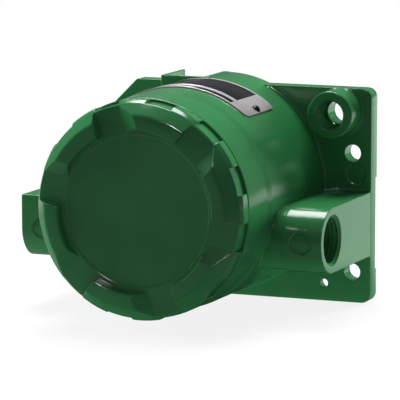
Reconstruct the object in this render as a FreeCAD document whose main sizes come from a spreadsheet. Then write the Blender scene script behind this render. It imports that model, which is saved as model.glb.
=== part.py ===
import FreeCAD, Part
import math
import os
import Sketcher
from FreeCAD import Placement, Rotation, Vector

# Valve position transmitter: a cast explosion-proof housing with a screwed front
# cover and two conduit entries. The valve turns the input shaft at the back, and
# a toothed sector on it turns a potentiometer behind the circuit board.
# Frame: millimetres, +Z up, +X to the right of someone who faces the cover, and
# the origin on the input shaft's axis in the rear mounting plane.
# "Depth" means distance forward of that plane, so a depth d lies at Y = -d.

document = FreeCAD.newDocument("PositionTransmitter")
sheet = document.addObject("Spreadsheet::Sheet", "dim")
nodes = []


# Helpers for sizes, sketches and features

def sizes(named):
    """Write sizes, in millimetres or degrees, into the sheet under their names."""
    for name, size in named.items():
        row = len(sheet.getUsedCells()) // 2 + 1
        sheet.set("A%d" % row, name)
        sheet.set("B%d" % row, str(size))
        sheet.setAlias("B%d" % row, name)
    document.recompute()


def value(expression):
    return float(sheet.evalExpression(expression))


def around(radius, angle):
    """Expressions for X and Z of a point on a circle about the shaft axis."""
    x = "(%s) * cos((%s) * 1 deg)" % (radius, angle)
    z = "(%s) * sin((%s) * 1 deg)" % (radius, angle)
    return x, z


def new_body(label):
    return document.addObject("PartDesign::Body", label)


def sketch_on(body, plane, name, offset="0"):
    """Sketch on an origin plane; on XZ_Plane the offset is a depth."""
    sketch = body.newObject("Sketcher::SketchObject", name)
    support = [item for item in body.Origin.OriginFeatures if item.Role == plane][0]
    sketch.AttachmentSupport = [(support, "")]
    sketch.MapMode = "FlatFace"
    sketch.setExpression("AttachmentOffset.Base.z", offset)
    return sketch


def bind(sketch, kind, element, point, expression):
    constraint = Sketcher.Constraint(kind, -1, 1, element, point, value(expression))
    index = sketch.addConstraint(constraint)
    sketch.setExpression("Constraints[%d]" % index, expression)


def draw_outline(sketch, corners):
    """Closed outline of straight lines through corners given as expressions."""
    points = [Vector(value(across), value(up), 0) for across, up in corners]
    first = sketch.GeometryCount
    count = len(points)
    for index, point in enumerate(points):
        line = Part.LineSegment(point, points[(index + 1) % count])
        sketch.addGeometry(line, False)
    for index in range(count):
        following = first + (index + 1) % count
        joined = Sketcher.Constraint("Coincident", first + index, 2, following, 1)
        sketch.addConstraint(joined)
    for index, (across, up) in enumerate(corners):
        bind(sketch, "DistanceX", first + index, 1, across)
        bind(sketch, "DistanceY", first + index, 1, up)


def draw_rectangle(sketch, left, right, bottom, top):
    draw_outline(sketch, [(left, bottom), (right, bottom), (right, top), (left, top)])


def draw_circle(sketch, across, up, radius):
    centre = Vector(value(across), value(up), 0)
    circle = Part.Circle(centre, Vector(0, 0, 1), value(radius))
    element = sketch.addGeometry(circle, False)
    bind(sketch, "DistanceX", element, 3, across)
    bind(sketch, "DistanceY", element, 3, up)
    index = sketch.addConstraint(Sketcher.Constraint("Radius", element, value(radius)))
    sketch.setExpression("Constraints[%d]" % index, radius)


def add_pad(body, sketch, length, backwards=False):
    pad = body.newObject("PartDesign::Pad", sketch.Name + "_pad")
    pad.Profile = sketch
    pad.Reversed = backwards
    pad.setExpression("Length", length)
    document.recompute()
    return pad


def cut_away(body, feature):
    """Recompute after a cutting feature and make sure that it removed something."""
    before = feature.BaseFeature.Shape.Volume
    document.recompute()
    if body.Shape.Volume >= before - 1:
        raise RuntimeError(feature.Name + " cuts nothing")
    return feature


def add_pocket(body, sketch, length=None, backwards=False, both_ways=False):
    """Cut a sketch away by a length, or right through when none is given."""
    pocket = body.newObject("PartDesign::Pocket", sketch.Name + "_pocket")
    pocket.Profile = sketch
    pocket.Reversed = backwards
    pocket.Midplane = both_ways
    if length is None:
        pocket.Type = "ThroughAll"
    else:
        pocket.setExpression("Length", length)
    return cut_away(body, pocket)


def add_revolution(body, sketch):
    turned = body.newObject("PartDesign::Revolution", sketch.Name + "_turned")
    turned.Profile = sketch
    turned.ReferenceAxis = (sketch, ["H_Axis"])
    turned.Angle = 360
    document.recompute()
    return turned


def add_groove(body, sketch, angle="360"):
    groove = body.newObject("PartDesign::Groove", sketch.Name + "_groove")
    groove.Profile = sketch
    groove.ReferenceAxis = (sketch, ["H_Axis"])
    groove.Midplane = True
    groove.setExpression("Angle", angle)
    return cut_away(body, groove)


def repeat_round(body, feature, axis_sketch, count):
    """Repeat a feature evenly round the Y axis."""
    pattern = body.newObject("PartDesign::PolarPattern", feature.Name + "_pattern")
    pattern.Originals = [feature]
    pattern.Axis = (axis_sketch, ["H_Axis"])
    pattern.Angle = 360
    pattern.setExpression("Occurrences", count)
    body.Tip = pattern
    document.recompute()
    return pattern


def turned_body(label, corners):
    """Body turned about the shaft axis from corners given as (depth, radius)."""
    body = new_body(label)
    sketch = sketch_on(body, "YZ_Plane", label + "_section")
    draw_outline(sketch, [("-(%s)" % depth, radius) for depth, radius in corners])
    add_revolution(body, sketch)
    return body


def edges_where(shape, test):
    names = []
    for index, edge in enumerate(shape.Edges):
        if test(edge, edge.BoundBox):
            names.append("Edge%d" % (index + 1))
    return names


def dress(body, kind, name, edges, property_name, size):
    """Fillet or chamfer the named edges of the body's tip."""
    feature = body.newObject("PartDesign::" + kind, name)
    feature.Base = (feature.BaseFeature, edges)
    feature.setExpression(property_name, size)
    document.recompute()
    return feature


FORWARD = Rotation(Vector(1, 0, 0), 90)
RIGHT = Rotation(Vector(0, 1, 0), 90)
UPRIGHT = Rotation()


def place(shape, x, depth, z, turn):
    shape.Placement = Placement(Vector(), turn)
    shape.setExpression("Placement.Base.x", x)
    shape.setExpression("Placement.Base.y", "-(%s)" % depth)
    shape.setExpression("Placement.Base.z", z)
    return shape


def rod(name, radius, length, x="0", depth="0", z="0", turn=FORWARD):
    """Cylinder that starts at a point and runs forward, or as turned."""
    shape = document.addObject("Part::Cylinder", name)
    shape.setExpression("Radius", radius)
    shape.setExpression("Height", length)
    return place(shape, x, depth, z, turn)


def block(name, width, length, height, x="0", depth="0", z="0"):
    """Box centred on X and Z, running forward from its depth by its length."""
    shape = document.addObject("Part::Box", name)
    shape.setExpression("Length", width)
    shape.setExpression("Width", length)
    shape.setExpression("Height", height)
    left = "(%s) - (%s) / 2" % (x, width)
    bottom = "(%s) - (%s) / 2" % (z, height)
    return place(shape, left, "(%s) + (%s)" % (depth, length), bottom, UPRIGHT)


def ring(name, major, section, x="0", depth="0", z="0"):
    shape = document.addObject("Part::Torus", name)
    shape.setExpression("Radius1", major)
    shape.setExpression("Radius2", section)
    return place(shape, x, depth, z, FORWARD)


def hexagon(name, across_flats, length, x, depth, z):
    shape = document.addObject("Part::Prism", name)
    shape.Polygon = 6
    shape.setExpression("Circumradius", "(%s) / 2 / cos(30 deg)" % across_flats)
    shape.setExpression("Height", length)
    return place(shape, x, depth, z, FORWARD)


def fuse(name, shapes):
    joined = document.addObject("Part::MultiFuse", name)
    joined.Shapes = shapes
    joined.Refine = True
    return joined


def cut(name, base, tools):
    """Base minus one tool, or minus several joined tools."""
    result = document.addObject("Part::Cut", name)
    result.Base = base
    result.Tool = tools[0] if len(tools) == 1 else fuse(name + "_tools", tools)
    return result


def group(name, shapes):
    compound = document.addObject("Part::Compound", name)
    compound.Links = shapes
    return compound


def slotted_screw(name, head, x, depth, z, shank):
    """Slotted screw whose head stands on depth; head and shank are size names."""
    head_radius = "dim.%s_radius" % head
    head_height = "dim.%s_height" % head
    slot_depth = head_height + " * 0.4"
    cap = rod(name + "_head", head_radius, head_height, x, depth, z)
    stem_start = "(%s) - dim.%s_length" % (depth, shank)
    stem_length = "dim.%s_length" % shank
    stem = rod(name + "_stem", "dim.%s_radius" % shank, stem_length, x, stem_start, z)
    slot_start = "(%s) + %s - %s" % (depth, head_height, slot_depth)
    slot = block(name + "_slot", "3 * " + head_radius, slot_depth, "dim.slot_width",
                 x, slot_start, z)
    return cut(name, fuse(name + "_blank", [cap, stem]), [slot])


def finish(shape, label):
    shape.Label = label
    nodes.append(shape)
    return shape


# Sizes that several parts share

shared_sizes = {
    "running_clearance": 0.04,
    "press_clearance": 0.02,
    "seating_gap": 0.3,
    "slot_width": 0.8,
}
sizes(shared_sizes)

# Housing: one aluminium casting. It holds the drum with its rear wall and shaft
# hub, the mounting plate, the two conduit blocks, the ported boss and the open
# recess behind the nameplate.

housing_sizes = {
    "drum_radius": 47.6,
    "drum_base_radius": 48.2,
    "drum_flare_depth": 26.5,
    "drum_step_depth": 73,
    "drum_lip_radius": 47.1,
    "drum_depth": 97,
    "chamber_radius": 40,
    "rear_wall": 8,
    "thread_bore_radius": 41.1,
    "thread_bore_length": 18,
    "seal_seat_radius": 43.4,
    "seal_seat_depth": 3,
    "hub_radius": 14,
    "hub_depth": 16,
    "bushing_radius": 7,
    "bushing_flange_radius": 9,
    "rear_flange": 1.5,
    "plate_half_width": 69.7,
    "plate_top": 44.1,
    "plate_bottom": 50.9,
    "plate_depth": 8,
    "plate_relief": 1.5,
    "relief_top": 4.6,
    "relief_bottom": 36.4,
    "plate_corner_radius": 4,
    "plate_corner_cut": 28,
    "wing_edge_radius": 3.5,
    "recess_side": 23.2,
    "recess_wall": 1.6,
    "recess_front_depth": 24.5,
    "recess_top": 48.4,
    "recess_floor": 43.2,
    "recess_right": 2.8,
    "conduit_depth": 57,
    "conduit_drop": 15.5,
    "conduit_radius": 14.2,
    "conduit_neck_radius": 13.7,
    "conduit_collar": 16.4,
    "conduit_bore_radius": 10.4,
    "conduit_chamfer": 0.8,
    "spot_radius": 4.9,
    "spot_inset": 9.7,
    "spot_depth": 0.6,
    "boss_side_inset": 14.6,
    "boss_top_inset": 10.4,
    "boss_radius": 10.3,
    "boss_depth": 21.6,
    "boss_port_radius": 6,
    "boss_port_depth": 12,
    "boss_port_chamfer": 1,
    "boss_rear_radius": 5.2,
    "bolt_hole_side_inset": 8.5,
    "bolt_hole_top_inset": 28.5,
    "bolt_hole_bottom_inset": 13.6,
    "bolt_hole_radius": 3.8,
    "dowel_side_inset": 21.7,
    "dowel_bottom_inset": 7.8,
    "dowel_radius": 1.9,
    "pad_mark_inset": 6.9,
    "pad_mark_z": 6.4,
    "pad_mark_radius": 4.5,
    "pad_mark_depth": 0.4,
    "pillar_radius": 4,
    "pillar_inset": 7,
    "pillar_rise_angle": 20,
    "pillar_drop_angle": 55,
    "gear_space": 21.7,
    "pillar_hole_radius": 1.5,
    "pillar_hole_depth": 10,
    "lug_width": 12,
    "lug_rise": 8.5,
    "lug_front_depth": 68,
    "lug_length": 8,
    "plate_angle": 80,
    "tag_screw_inset": 4.5,
    "tag_depth": 27,
    "tag_width": 31,
    "tag_screw_hole": 1.05,
    "tag_screw_hole_depth": 4.5,
}
sizes(housing_sizes)

pillar_top = "(dim.rear_wall + dim.gear_space)"
pillar_angles = [
    "dim.pillar_rise_angle",
    "180 - dim.pillar_rise_angle",
    "180 + dim.pillar_drop_angle",
    "-dim.pillar_drop_angle",
]
pillar_circle = "(dim.chamber_radius - dim.pillar_inset)"
lug_inner = "(dim.chamber_radius - dim.lug_rise)"
boss_x = "(dim.plate_half_width - dim.boss_side_inset)"
boss_z = "(dim.plate_top - dim.boss_top_inset)"
tag_angles = [
    "90 - dim.plate_angle / 2 + dim.tag_screw_inset",
    "90 + dim.plate_angle / 2 - dim.tag_screw_inset",
]
tag_middle = "dim.tag_depth + dim.tag_width / 2"


def turned_cylinder(body, kind, name, radius, length, base, angle):
    """Cylinder that points away from the shaft axis at an angle in the XZ plane."""
    feature = body.newObject("PartDesign::" + kind, name)
    feature.setExpression("Radius", radius)
    feature.setExpression("Height", length)
    feature.Placement = Placement(Vector(), Rotation(Vector(0, 1, 0), 90))
    x, depth, z = base
    feature.setExpression("Placement.Base.x", x)
    feature.setExpression("Placement.Base.y", "-(%s)" % depth)
    feature.setExpression("Placement.Base.z", z)
    feature.setExpression("Placement.Rotation.Angle", "90 - (%s)" % angle)
    return feature


def conduit_block(body, side, square_top):
    """Conduit block from the drum to the plate's edge, with its wider collar."""
    label = "right_conduit" if side > 0 else "left_conduit"
    steps = [
        ("neck", "0", "dim.plate_half_width", "dim.conduit_neck_radius"),
        ("collar", "dim.plate_half_width - dim.conduit_collar", "dim.conduit_collar",
         "dim.conduit_radius"),
    ]
    for part, start, length, radius in steps:
        offset = start if side > 0 else "-(%s)" % start
        top = "%s - dim.conduit_drop" % radius
        bottom = "-(%s) - dim.conduit_drop" % radius
        web = sketch_on(body, "YZ_Plane", "%s_%s_web" % (label, part), offset)
        draw_rectangle(web, "-dim.conduit_depth", "-dim.rear_wall / 2", bottom, top)
        add_pad(body, web, length, side < 0)
        nose = sketch_on(body, "YZ_Plane", "%s_%s_nose" % (label, part), offset)
        draw_circle(nose, "-dim.conduit_depth", "-dim.conduit_drop", radius)
        add_pad(body, nose, length, side < 0)
        if square_top:
            brow = sketch_on(body, "YZ_Plane", "%s_%s_brow" % (label, part), offset)
            front = "-dim.conduit_depth - %s" % radius
            draw_rectangle(brow, front, "-dim.conduit_depth", "-dim.conduit_drop", top)
            add_pad(body, brow, length, side < 0)


def housing():
    body = new_body("housing")
    half = "dim.plate_half_width"

    plate = sketch_on(body, "XZ_Plane", "plate")
    draw_outline(plate, [
        ("-" + half, "-dim.plate_bottom"),
        (half, "-dim.plate_bottom"),
        (half, "dim.plate_top"),
        ("dim.plate_corner_cut - " + half, "dim.plate_top"),
        ("-" + half, "dim.plate_top - dim.plate_corner_cut"),
    ])
    add_pad(body, plate, "dim.plate_depth")
    edge_x = value(half)
    cut_z = value("dim.plate_top - dim.plate_corner_cut")
    corners = edges_where(body.Shape, lambda edge, box: (
        box.YLength > 1 and abs(abs(box.XMin) - edge_x) < 1e-6
        and not (box.XMin < 0 and abs(box.ZMin - cut_z) < 1e-6)))
    dress(body, "Fillet", "plate_corners", corners, "Radius", "dim.plate_corner_radius")

    drum = sketch_on(body, "YZ_Plane", "drum")
    draw_outline(drum, [
        ("0", "0"),
        ("0", "dim.drum_base_radius"),
        ("-dim.drum_flare_depth", "dim.drum_radius"),
        ("-dim.drum_step_depth", "dim.drum_radius"),
        ("-dim.drum_step_depth", "dim.drum_lip_radius"),
        ("-dim.drum_depth", "dim.drum_lip_radius"),
        ("-dim.drum_depth", "0"),
    ])
    add_revolution(body, drum)

    relief = sketch_on(body, "XZ_Plane", "rear_relief")
    draw_rectangle(relief, "-%s - 1" % half, half + " + 1", "-dim.relief_bottom",
                   "dim.relief_top")
    add_pocket(body, relief, "dim.plate_relief", True)
    hub_pad = sketch_on(body, "XZ_Plane", "hub_pad")
    draw_circle(hub_pad, "0", "0", "dim.hub_radius")
    add_pad(body, hub_pad, "2 * dim.plate_relief")

    conduit_block(body, 1, False)
    conduit_block(body, -1, True)

    recess_block = sketch_on(body, "XZ_Plane", "recess_block")
    draw_rectangle(recess_block, "-dim.recess_side", "0", "dim.drum_radius / 2",
                   "dim.recess_top")
    add_pad(body, recess_block, "dim.recess_front_depth")
    recess = sketch_on(body, "XZ_Plane", "recess")
    draw_rectangle(recess, "-dim.recess_side + dim.recess_wall", "-dim.recess_right",
                   "dim.recess_floor", "dim.recess_top + 5")
    add_pocket(body, recess, "dim.recess_front_depth - dim.recess_wall", True)

    boss = sketch_on(body, "XZ_Plane", "boss", "dim.plate_relief")
    draw_circle(boss, boss_x, boss_z, "dim.boss_radius")
    add_pad(body, boss, "dim.boss_depth - dim.plate_relief")

    wing_y = -value("dim.plate_depth")
    top = value("dim.plate_top")
    wing_end = -value("dim.recess_side")
    wing_edges = edges_where(body.Shape, lambda edge, box: (
        box.YLength < 1e-6 and abs(box.YMin - wing_y) < 1e-6 and box.XLength > 1
        and box.ZMax > top - 1e-6 and box.XMax < wing_end + 1e-6))
    dress(body, "Fillet", "wing_edge", wing_edges, "Radius", "dim.wing_edge_radius")

    chamber = sketch_on(body, "YZ_Plane", "chamber")
    thread_end = "dim.thread_bore_length - dim.drum_depth"
    seat_floor = "dim.seal_seat_depth - dim.drum_depth"
    draw_outline(chamber, [
        ("-dim.drum_depth", "0"),
        ("-dim.drum_depth", "dim.seal_seat_radius"),
        (seat_floor, "dim.seal_seat_radius"),
        (seat_floor, "dim.thread_bore_radius"),
        (thread_end, "dim.thread_bore_radius"),
        (thread_end, "dim.chamber_radius"),
        ("-dim.rear_wall", "dim.chamber_radius"),
        ("-dim.rear_wall", "dim.hub_radius"),
        ("-dim.hub_depth", "dim.hub_radius"),
        ("-dim.hub_depth", "0"),
    ])
    add_groove(body, chamber)

    pillars = sketch_on(body, "XZ_Plane", "pillars", "dim.rear_wall / 2")
    for angle in pillar_angles:
        draw_circle(pillars, *around(pillar_circle, angle), "dim.pillar_radius")
    add_pad(body, pillars, pillar_top + " - dim.rear_wall / 2")
    taps = sketch_on(body, "XZ_Plane", "pillar_taps", pillar_top)
    for angle in pillar_angles:
        draw_circle(taps, *around(pillar_circle, angle), "dim.pillar_hole_radius")
    add_pocket(body, taps, "dim.pillar_hole_depth")

    lug = sketch_on(body, "XZ_Plane", "ground_lug", "dim.lug_front_depth - dim.lug_length")
    draw_rectangle(lug, "-dim.lug_width / 2", "dim.lug_width / 2",
                   "-dim.chamber_radius - 2", "-" + lug_inner)
    add_pad(body, lug, "dim.lug_length")
    lug_tap = sketch_on(body, "XZ_Plane", "ground_tap", "dim.lug_front_depth")
    draw_circle(lug_tap, "0", ground_height, "dim.ground_screw_radius + dim.press_clearance")
    add_pocket(body, lug_tap, "dim.ground_screw_length + dim.seating_gap")

    shaft_bore = sketch_on(body, "XZ_Plane", "shaft_bore")
    draw_circle(shaft_bore, "0", "0", "dim.bushing_radius + dim.press_clearance")
    add_pocket(body, shaft_bore, "dim.hub_depth", True)
    flange_seat = sketch_on(body, "XZ_Plane", "flange_seat")
    draw_circle(flange_seat, "0", "0", "dim.bushing_flange_radius + dim.press_clearance")
    add_pocket(body, flange_seat, "dim.rear_flange", True)

    entries = sketch_on(body, "YZ_Plane", "conduit_entries")
    draw_circle(entries, "-dim.conduit_depth", "-dim.conduit_drop",
                "dim.conduit_bore_radius")
    add_pocket(body, entries, both_ways=True)
    bore = value("dim.conduit_bore_radius")
    mouths = edges_where(body.Shape, lambda edge, box: (
        abs(abs(box.XMin) - edge_x) < 1e-6 and box.XLength < 1e-6
        and abs(box.ZLength - 2 * bore) < 0.01))
    dress(body, "Chamfer", "conduit_mouths", mouths, "Size", "dim.conduit_chamfer")

    spots = sketch_on(body, "XZ_Plane", "conduit_spots",
                      "dim.conduit_depth + dim.conduit_radius")
    for side in ("", "-"):
        draw_circle(spots, "%s(%s - dim.spot_inset)" % (side, half),
                    "-dim.conduit_drop", "dim.spot_radius")
    add_pocket(body, spots, "dim.spot_depth")

    port = sketch_on(body, "XZ_Plane", "boss_port", "dim.boss_depth")
    draw_circle(port, boss_x, boss_z, "dim.boss_port_radius")
    add_pocket(body, port, "dim.boss_port_depth")
    boss_y = -value("dim.boss_depth")
    port_size = 2 * value("dim.boss_port_radius")
    port_edge = edges_where(body.Shape, lambda edge, box: (
        abs(box.YMin - boss_y) < 1e-6 and box.YLength < 1e-6
        and abs(box.XLength - port_size) < 0.01))
    dress(body, "Chamfer", "boss_mouth", port_edge, "Size", "dim.boss_port_chamfer")
    through = sketch_on(body, "XZ_Plane", "boss_through", "dim.boss_depth")
    draw_circle(through, boss_x, boss_z, "dim.boss_rear_radius")
    add_pocket(body, through)

    holes = sketch_on(body, "XZ_Plane", "plate_holes", "dim.plate_depth")
    for side in ("", "-"):
        x = "%s(%s - dim.bolt_hole_side_inset)" % (side, half)
        for z in ("dim.plate_top - dim.bolt_hole_top_inset",
                  "dim.bolt_hole_bottom_inset - dim.plate_bottom"):
            draw_circle(holes, x, z, "dim.bolt_hole_radius")
    draw_circle(holes, half + " - dim.dowel_side_inset",
                "dim.dowel_bottom_inset - dim.plate_bottom", "dim.dowel_radius")
    add_pocket(body, holes)
    mark = sketch_on(body, "XZ_Plane", "pad_mark", "dim.plate_depth")
    draw_circle(mark, half + " - dim.pad_mark_inset", "dim.pad_mark_z",
                "dim.pad_mark_radius")
    add_pocket(body, mark, "dim.pad_mark_depth")

    for index, angle in enumerate(tag_angles):
        start = "(dim.drum_radius - dim.tag_screw_hole_depth)"
        x, z = around(start, angle)
        hole = turned_cylinder(body, "SubtractiveCylinder", "tag_hole_%d" % index,
                               "dim.tag_screw_hole", "2 * dim.tag_screw_hole_depth",
                               (x, tag_middle, z), angle)
        cut_away(body, hole)
    return body


# Ground terminal inside the wiring space: a slotted screw and its square clamp
# washer on the lug cast in the drum's wall.

ground_sizes = {
    "ground_screw_radius": 1.9,
    "ground_screw_length": 6,
    "ground_head_radius": 3.2,
    "ground_head_height": 2.2,
    "ground_clamp_side": 8,
    "ground_clamp_thickness": 1,
}
sizes(ground_sizes)
ground_height = "-(%s + dim.ground_clamp_side / 2)" % lug_inner


def ground_terminal():
    washer = block("ground_washer", "dim.ground_clamp_side", "dim.ground_clamp_thickness",
                   "dim.ground_clamp_side", "0", "dim.lug_front_depth", ground_height)
    hole = rod("ground_washer_hole", "dim.ground_screw_radius + dim.press_clearance",
               "dim.ground_clamp_thickness", "0", "dim.lug_front_depth", ground_height)
    finish(cut("clamp", washer, [hole]), "ground_clamp")
    head_depth = "dim.lug_front_depth + dim.ground_clamp_thickness"
    head = rod("ground_head", "dim.ground_head_radius", "dim.ground_head_height",
               "0", head_depth, ground_height)
    stem_length = "dim.ground_screw_length + dim.ground_clamp_thickness"
    stem = rod("ground_stem", "dim.ground_screw_radius", stem_length, "0",
               "dim.lug_front_depth - dim.ground_screw_length", ground_height)
    slot = block("ground_slot", "3 * dim.ground_head_radius",
                 "dim.ground_head_height * 0.4", "dim.slot_width", "0",
                 head_depth + " + dim.ground_head_height * 0.6", ground_height)
    finish(cut("ground", fuse("ground_blank", [head, stem]), [slot]), "ground_screw")


# Nameplate: thin metal strip rolled to the drum, with rounded corners, held by
# two round-headed drive screws.

nameplate_sizes = {
    "nameplate_thickness": 0.7,
    "nameplate_corner": 4,
    "tag_head_radius": 2,
    "tag_head_height": 1.2,
    "tag_stem_radius": 1,
    "tag_stem_length": 4,
}
sizes(nameplate_sizes)


def nameplate():
    body = new_body("nameplate")
    strip = sketch_on(body, "YZ_Plane", "nameplate_section")
    inner = "dim.drum_radius + dim.press_clearance"
    draw_rectangle(strip, "-dim.tag_depth - dim.tag_width", "-dim.tag_depth",
                   inner, inner + " + dim.nameplate_thickness")
    turned = add_revolution(body, strip)
    turned.Midplane = True
    turned.setExpression("Angle", "dim.plate_angle")
    document.recompute()
    middle = value(inner)
    ends = edges_where(body.Shape, lambda edge, box: (
        box.YLength < 1e-6 and edge.Length < 1 and edge.Curve.TypeId == "Part::GeomLine"
        and edge.Vertexes[0].Point.distanceToPoint(Vector(0, box.YMin, 0)) > middle - 1))
    dress(body, "Fillet", "nameplate_corners", ends, "Radius", "dim.nameplate_corner")
    for index, angle in enumerate(tag_angles):
        base = around("dim.drum_radius / 2", angle)
        hole = turned_cylinder(body, "SubtractiveCylinder", "nameplate_hole_%d" % index,
                               "dim.tag_screw_hole", "dim.drum_radius",
                               (base[0], tag_middle, base[1]), angle)
        cut_away(body, hole)
    return body


def tag_screw(index, angle):
    """Drive screw that stands on the nameplate and points at the shaft axis."""
    seat = "(dim.drum_radius + dim.press_clearance + dim.nameplate_thickness)"
    pieces = []
    for part, start, radius, length in (
            ("head", seat, "dim.tag_head_radius", "dim.tag_head_height"),
            ("stem", seat + " - dim.tag_stem_length", "dim.tag_stem_radius",
             "dim.tag_stem_length")):
        x, z = around(start, angle)
        piece = rod("tag_%s_%d" % (part, index), radius, length, x, tag_middle, z, RIGHT)
        piece.setExpression("Placement.Rotation.Angle", "90 - (%s)" % angle)
        pieces.append(piece)
    return fuse("tag_screw_%d" % index, pieces)


# Shaft bearings and seal: two flanged bronze bushings pressed into the hub from
# its two ends, with a rubber ring between them.

bearing_sizes = {
    "shaft_radius": 4.76,
    "journal_radius": 5.5,
    "shaft_inner_radius": 4,
    "rear_bushing_length": 6.5,
    "front_bushing_length": 6.5,
    "front_flange": 0.8,
    "shaft_seal_clearance": 0.03,
    "shaft_shoulder_gap": 0.1,
}
sizes(bearing_sizes)
front_bushing_start = "(dim.hub_depth - dim.front_bushing_length)"


def rear_bushing():
    bore = "dim.journal_radius + dim.running_clearance"
    return turned_body("rear_bushing", [
        ("0", bore),
        ("0", "dim.bushing_flange_radius"),
        ("dim.rear_flange", "dim.bushing_flange_radius"),
        ("dim.rear_flange", "dim.bushing_radius"),
        ("dim.rear_bushing_length", "dim.bushing_radius"),
        ("dim.rear_bushing_length", bore),
    ])


def front_bushing():
    bore = "dim.shaft_inner_radius + dim.running_clearance"
    flange_end = "dim.hub_depth + dim.front_flange"
    return turned_body("front_bushing", [
        (front_bushing_start, bore),
        (front_bushing_start, "dim.bushing_radius"),
        ("dim.hub_depth", "dim.bushing_radius"),
        ("dim.hub_depth", "dim.bushing_flange_radius"),
        (flange_end, "dim.bushing_flange_radius"),
        (flange_end, bore),
    ])


def shaft_seal():
    bore = "(dim.bushing_radius + dim.press_clearance)"
    middle = "(%s + dim.journal_radius) / 2" % bore
    section = "(%s - dim.journal_radius) / 2 - dim.shaft_seal_clearance" % bore
    depth = "(dim.rear_bushing_length + %s) / 2" % front_bushing_start
    return ring("shaft_seal", middle, section, depth=depth)


# Input shaft: turned stainless bar. The thick end stands out at the back for the
# feedback lever; the shoulder stops it inwards and the retaining ring outwards.

shaft_sizes = {
    "shaft_stub": 22,
    "shaft_chamfer": 0.8,
    "shaft_front_depth": 26.8,
    "ring_groove_radius": 3.4,
    "ring_radius": 6.2,
    "ring_thickness": 0.8,
    "ring_gap": 4,
    "ring_side_gap": 0.1,
}
sizes(shaft_sizes)
ring_start = "(dim.hub_depth + dim.front_flange + dim.ring_side_gap)"
ring_end = "(%s + dim.ring_thickness)" % ring_start


def input_shaft():
    shoulder = front_bushing_start + " - dim.shaft_shoulder_gap"
    groove_end = ring_end + " + dim.press_clearance"
    groove_start = ring_start + " - dim.press_clearance"
    return turned_body("input_shaft", [
        ("-dim.shaft_stub", "0"),
        ("-dim.shaft_stub", "dim.shaft_radius - dim.shaft_chamfer"),
        ("dim.shaft_chamfer - dim.shaft_stub", "dim.shaft_radius"),
        ("0", "dim.shaft_radius"),
        ("0", "dim.journal_radius"),
        (shoulder, "dim.journal_radius"),
        (shoulder, "dim.shaft_inner_radius"),
        (groove_start, "dim.shaft_inner_radius"),
        (groove_start, "dim.ring_groove_radius"),
        (groove_end, "dim.ring_groove_radius"),
        (groove_end, "dim.shaft_inner_radius"),
        ("dim.shaft_front_depth", "dim.shaft_inner_radius"),
        ("dim.shaft_front_depth", "0"),
    ])


def retaining_ring():
    outer = rod("ring_outer", "dim.ring_radius", "dim.ring_thickness", depth=ring_start)
    inner = rod("ring_inner", "dim.ring_groove_radius + dim.press_clearance",
                "dim.ring_thickness", depth=ring_start)
    gap = block("ring_opening", "dim.ring_gap", "dim.ring_thickness", "dim.ring_radius",
                "0", ring_start, "-dim.ring_radius / 2 - dim.ring_groove_radius / 2")
    return cut("shaft_ring", outer, [inner, gap])


# Gear train: a toothed sector on the shaft turns the potentiometer's pinion three
# times as fast. Both have involute teeth, thinned for backlash.

gear_sizes = {
    "gear_module": 0.8,
    "sector_teeth": 54,
    "sector_cut_teeth": 17,
    "pinion_teeth": 18,
    "pressure_angle": 20,
    "gear_backlash": 0.08,
    "centre_slack": 0.1,
    "gear_start": 19,
    "gear_thickness": 3,
    "sector_hub_radius": 8,
    "sector_hub_start": 18,
    "sector_hub_length": 8,
    "sector_rim": 3,
    "sector_window_radius": 2.6,
    "pinion_start": 18.2,
    "pinion_face": 4.8,
    "pinion_hub_radius": 5,
    "pinion_hub_length": 3.2,
    "set_screw_radius": 1.2,
    "set_screw_end_gap": 0.05,
}
sizes(gear_sizes)
gear_distance = ("(dim.gear_module * (dim.sector_teeth + dim.pinion_teeth) / 2"
                 " + dim.centre_slack)")


def involute(angle):
    return math.tan(angle) - angle


def tooth_points(teeth, middle):
    """Points of one tooth, anticlockwise, whose middle lies at an angle."""
    module = value("dim.gear_module")
    pitch = module * teeth / 2
    base = pitch * math.cos(math.radians(value("dim.pressure_angle")))
    root = pitch - 1.25 * module
    tip = pitch + module
    half = math.pi / 2 / teeth - value("dim.gear_backlash") / 2 / pitch
    pitch_angle = involute(math.radians(value("dim.pressure_angle")))
    start = max(base, root)
    flank = []
    for step in range(4):
        radius = start + (tip - start) * step / 3
        slope = math.acos(min(1.0, base / radius))
        flank.append((radius, half + pitch_angle - involute(slope)))
    if root < base:
        flank.insert(0, (root, flank[0][1]))
    right = [(radius, middle - offset) for radius, offset in flank]
    left = [(radius, middle + offset) for radius, offset in reversed(flank)]
    return [Vector(radius * math.cos(angle), 0, radius * math.sin(angle))
            for radius, angle in right + left]


def forward(shape, length):
    return shape.extrude(Vector(0, -length, 0))


def disc(radius, start, length, x=0.0, z=0.0):
    return Part.makeCylinder(radius, length, Vector(x, -start, z), Vector(0, -1, 0))


def gear_face(points):
    return Part.Face(Part.makePolygon(points + [points[0]]))


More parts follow.
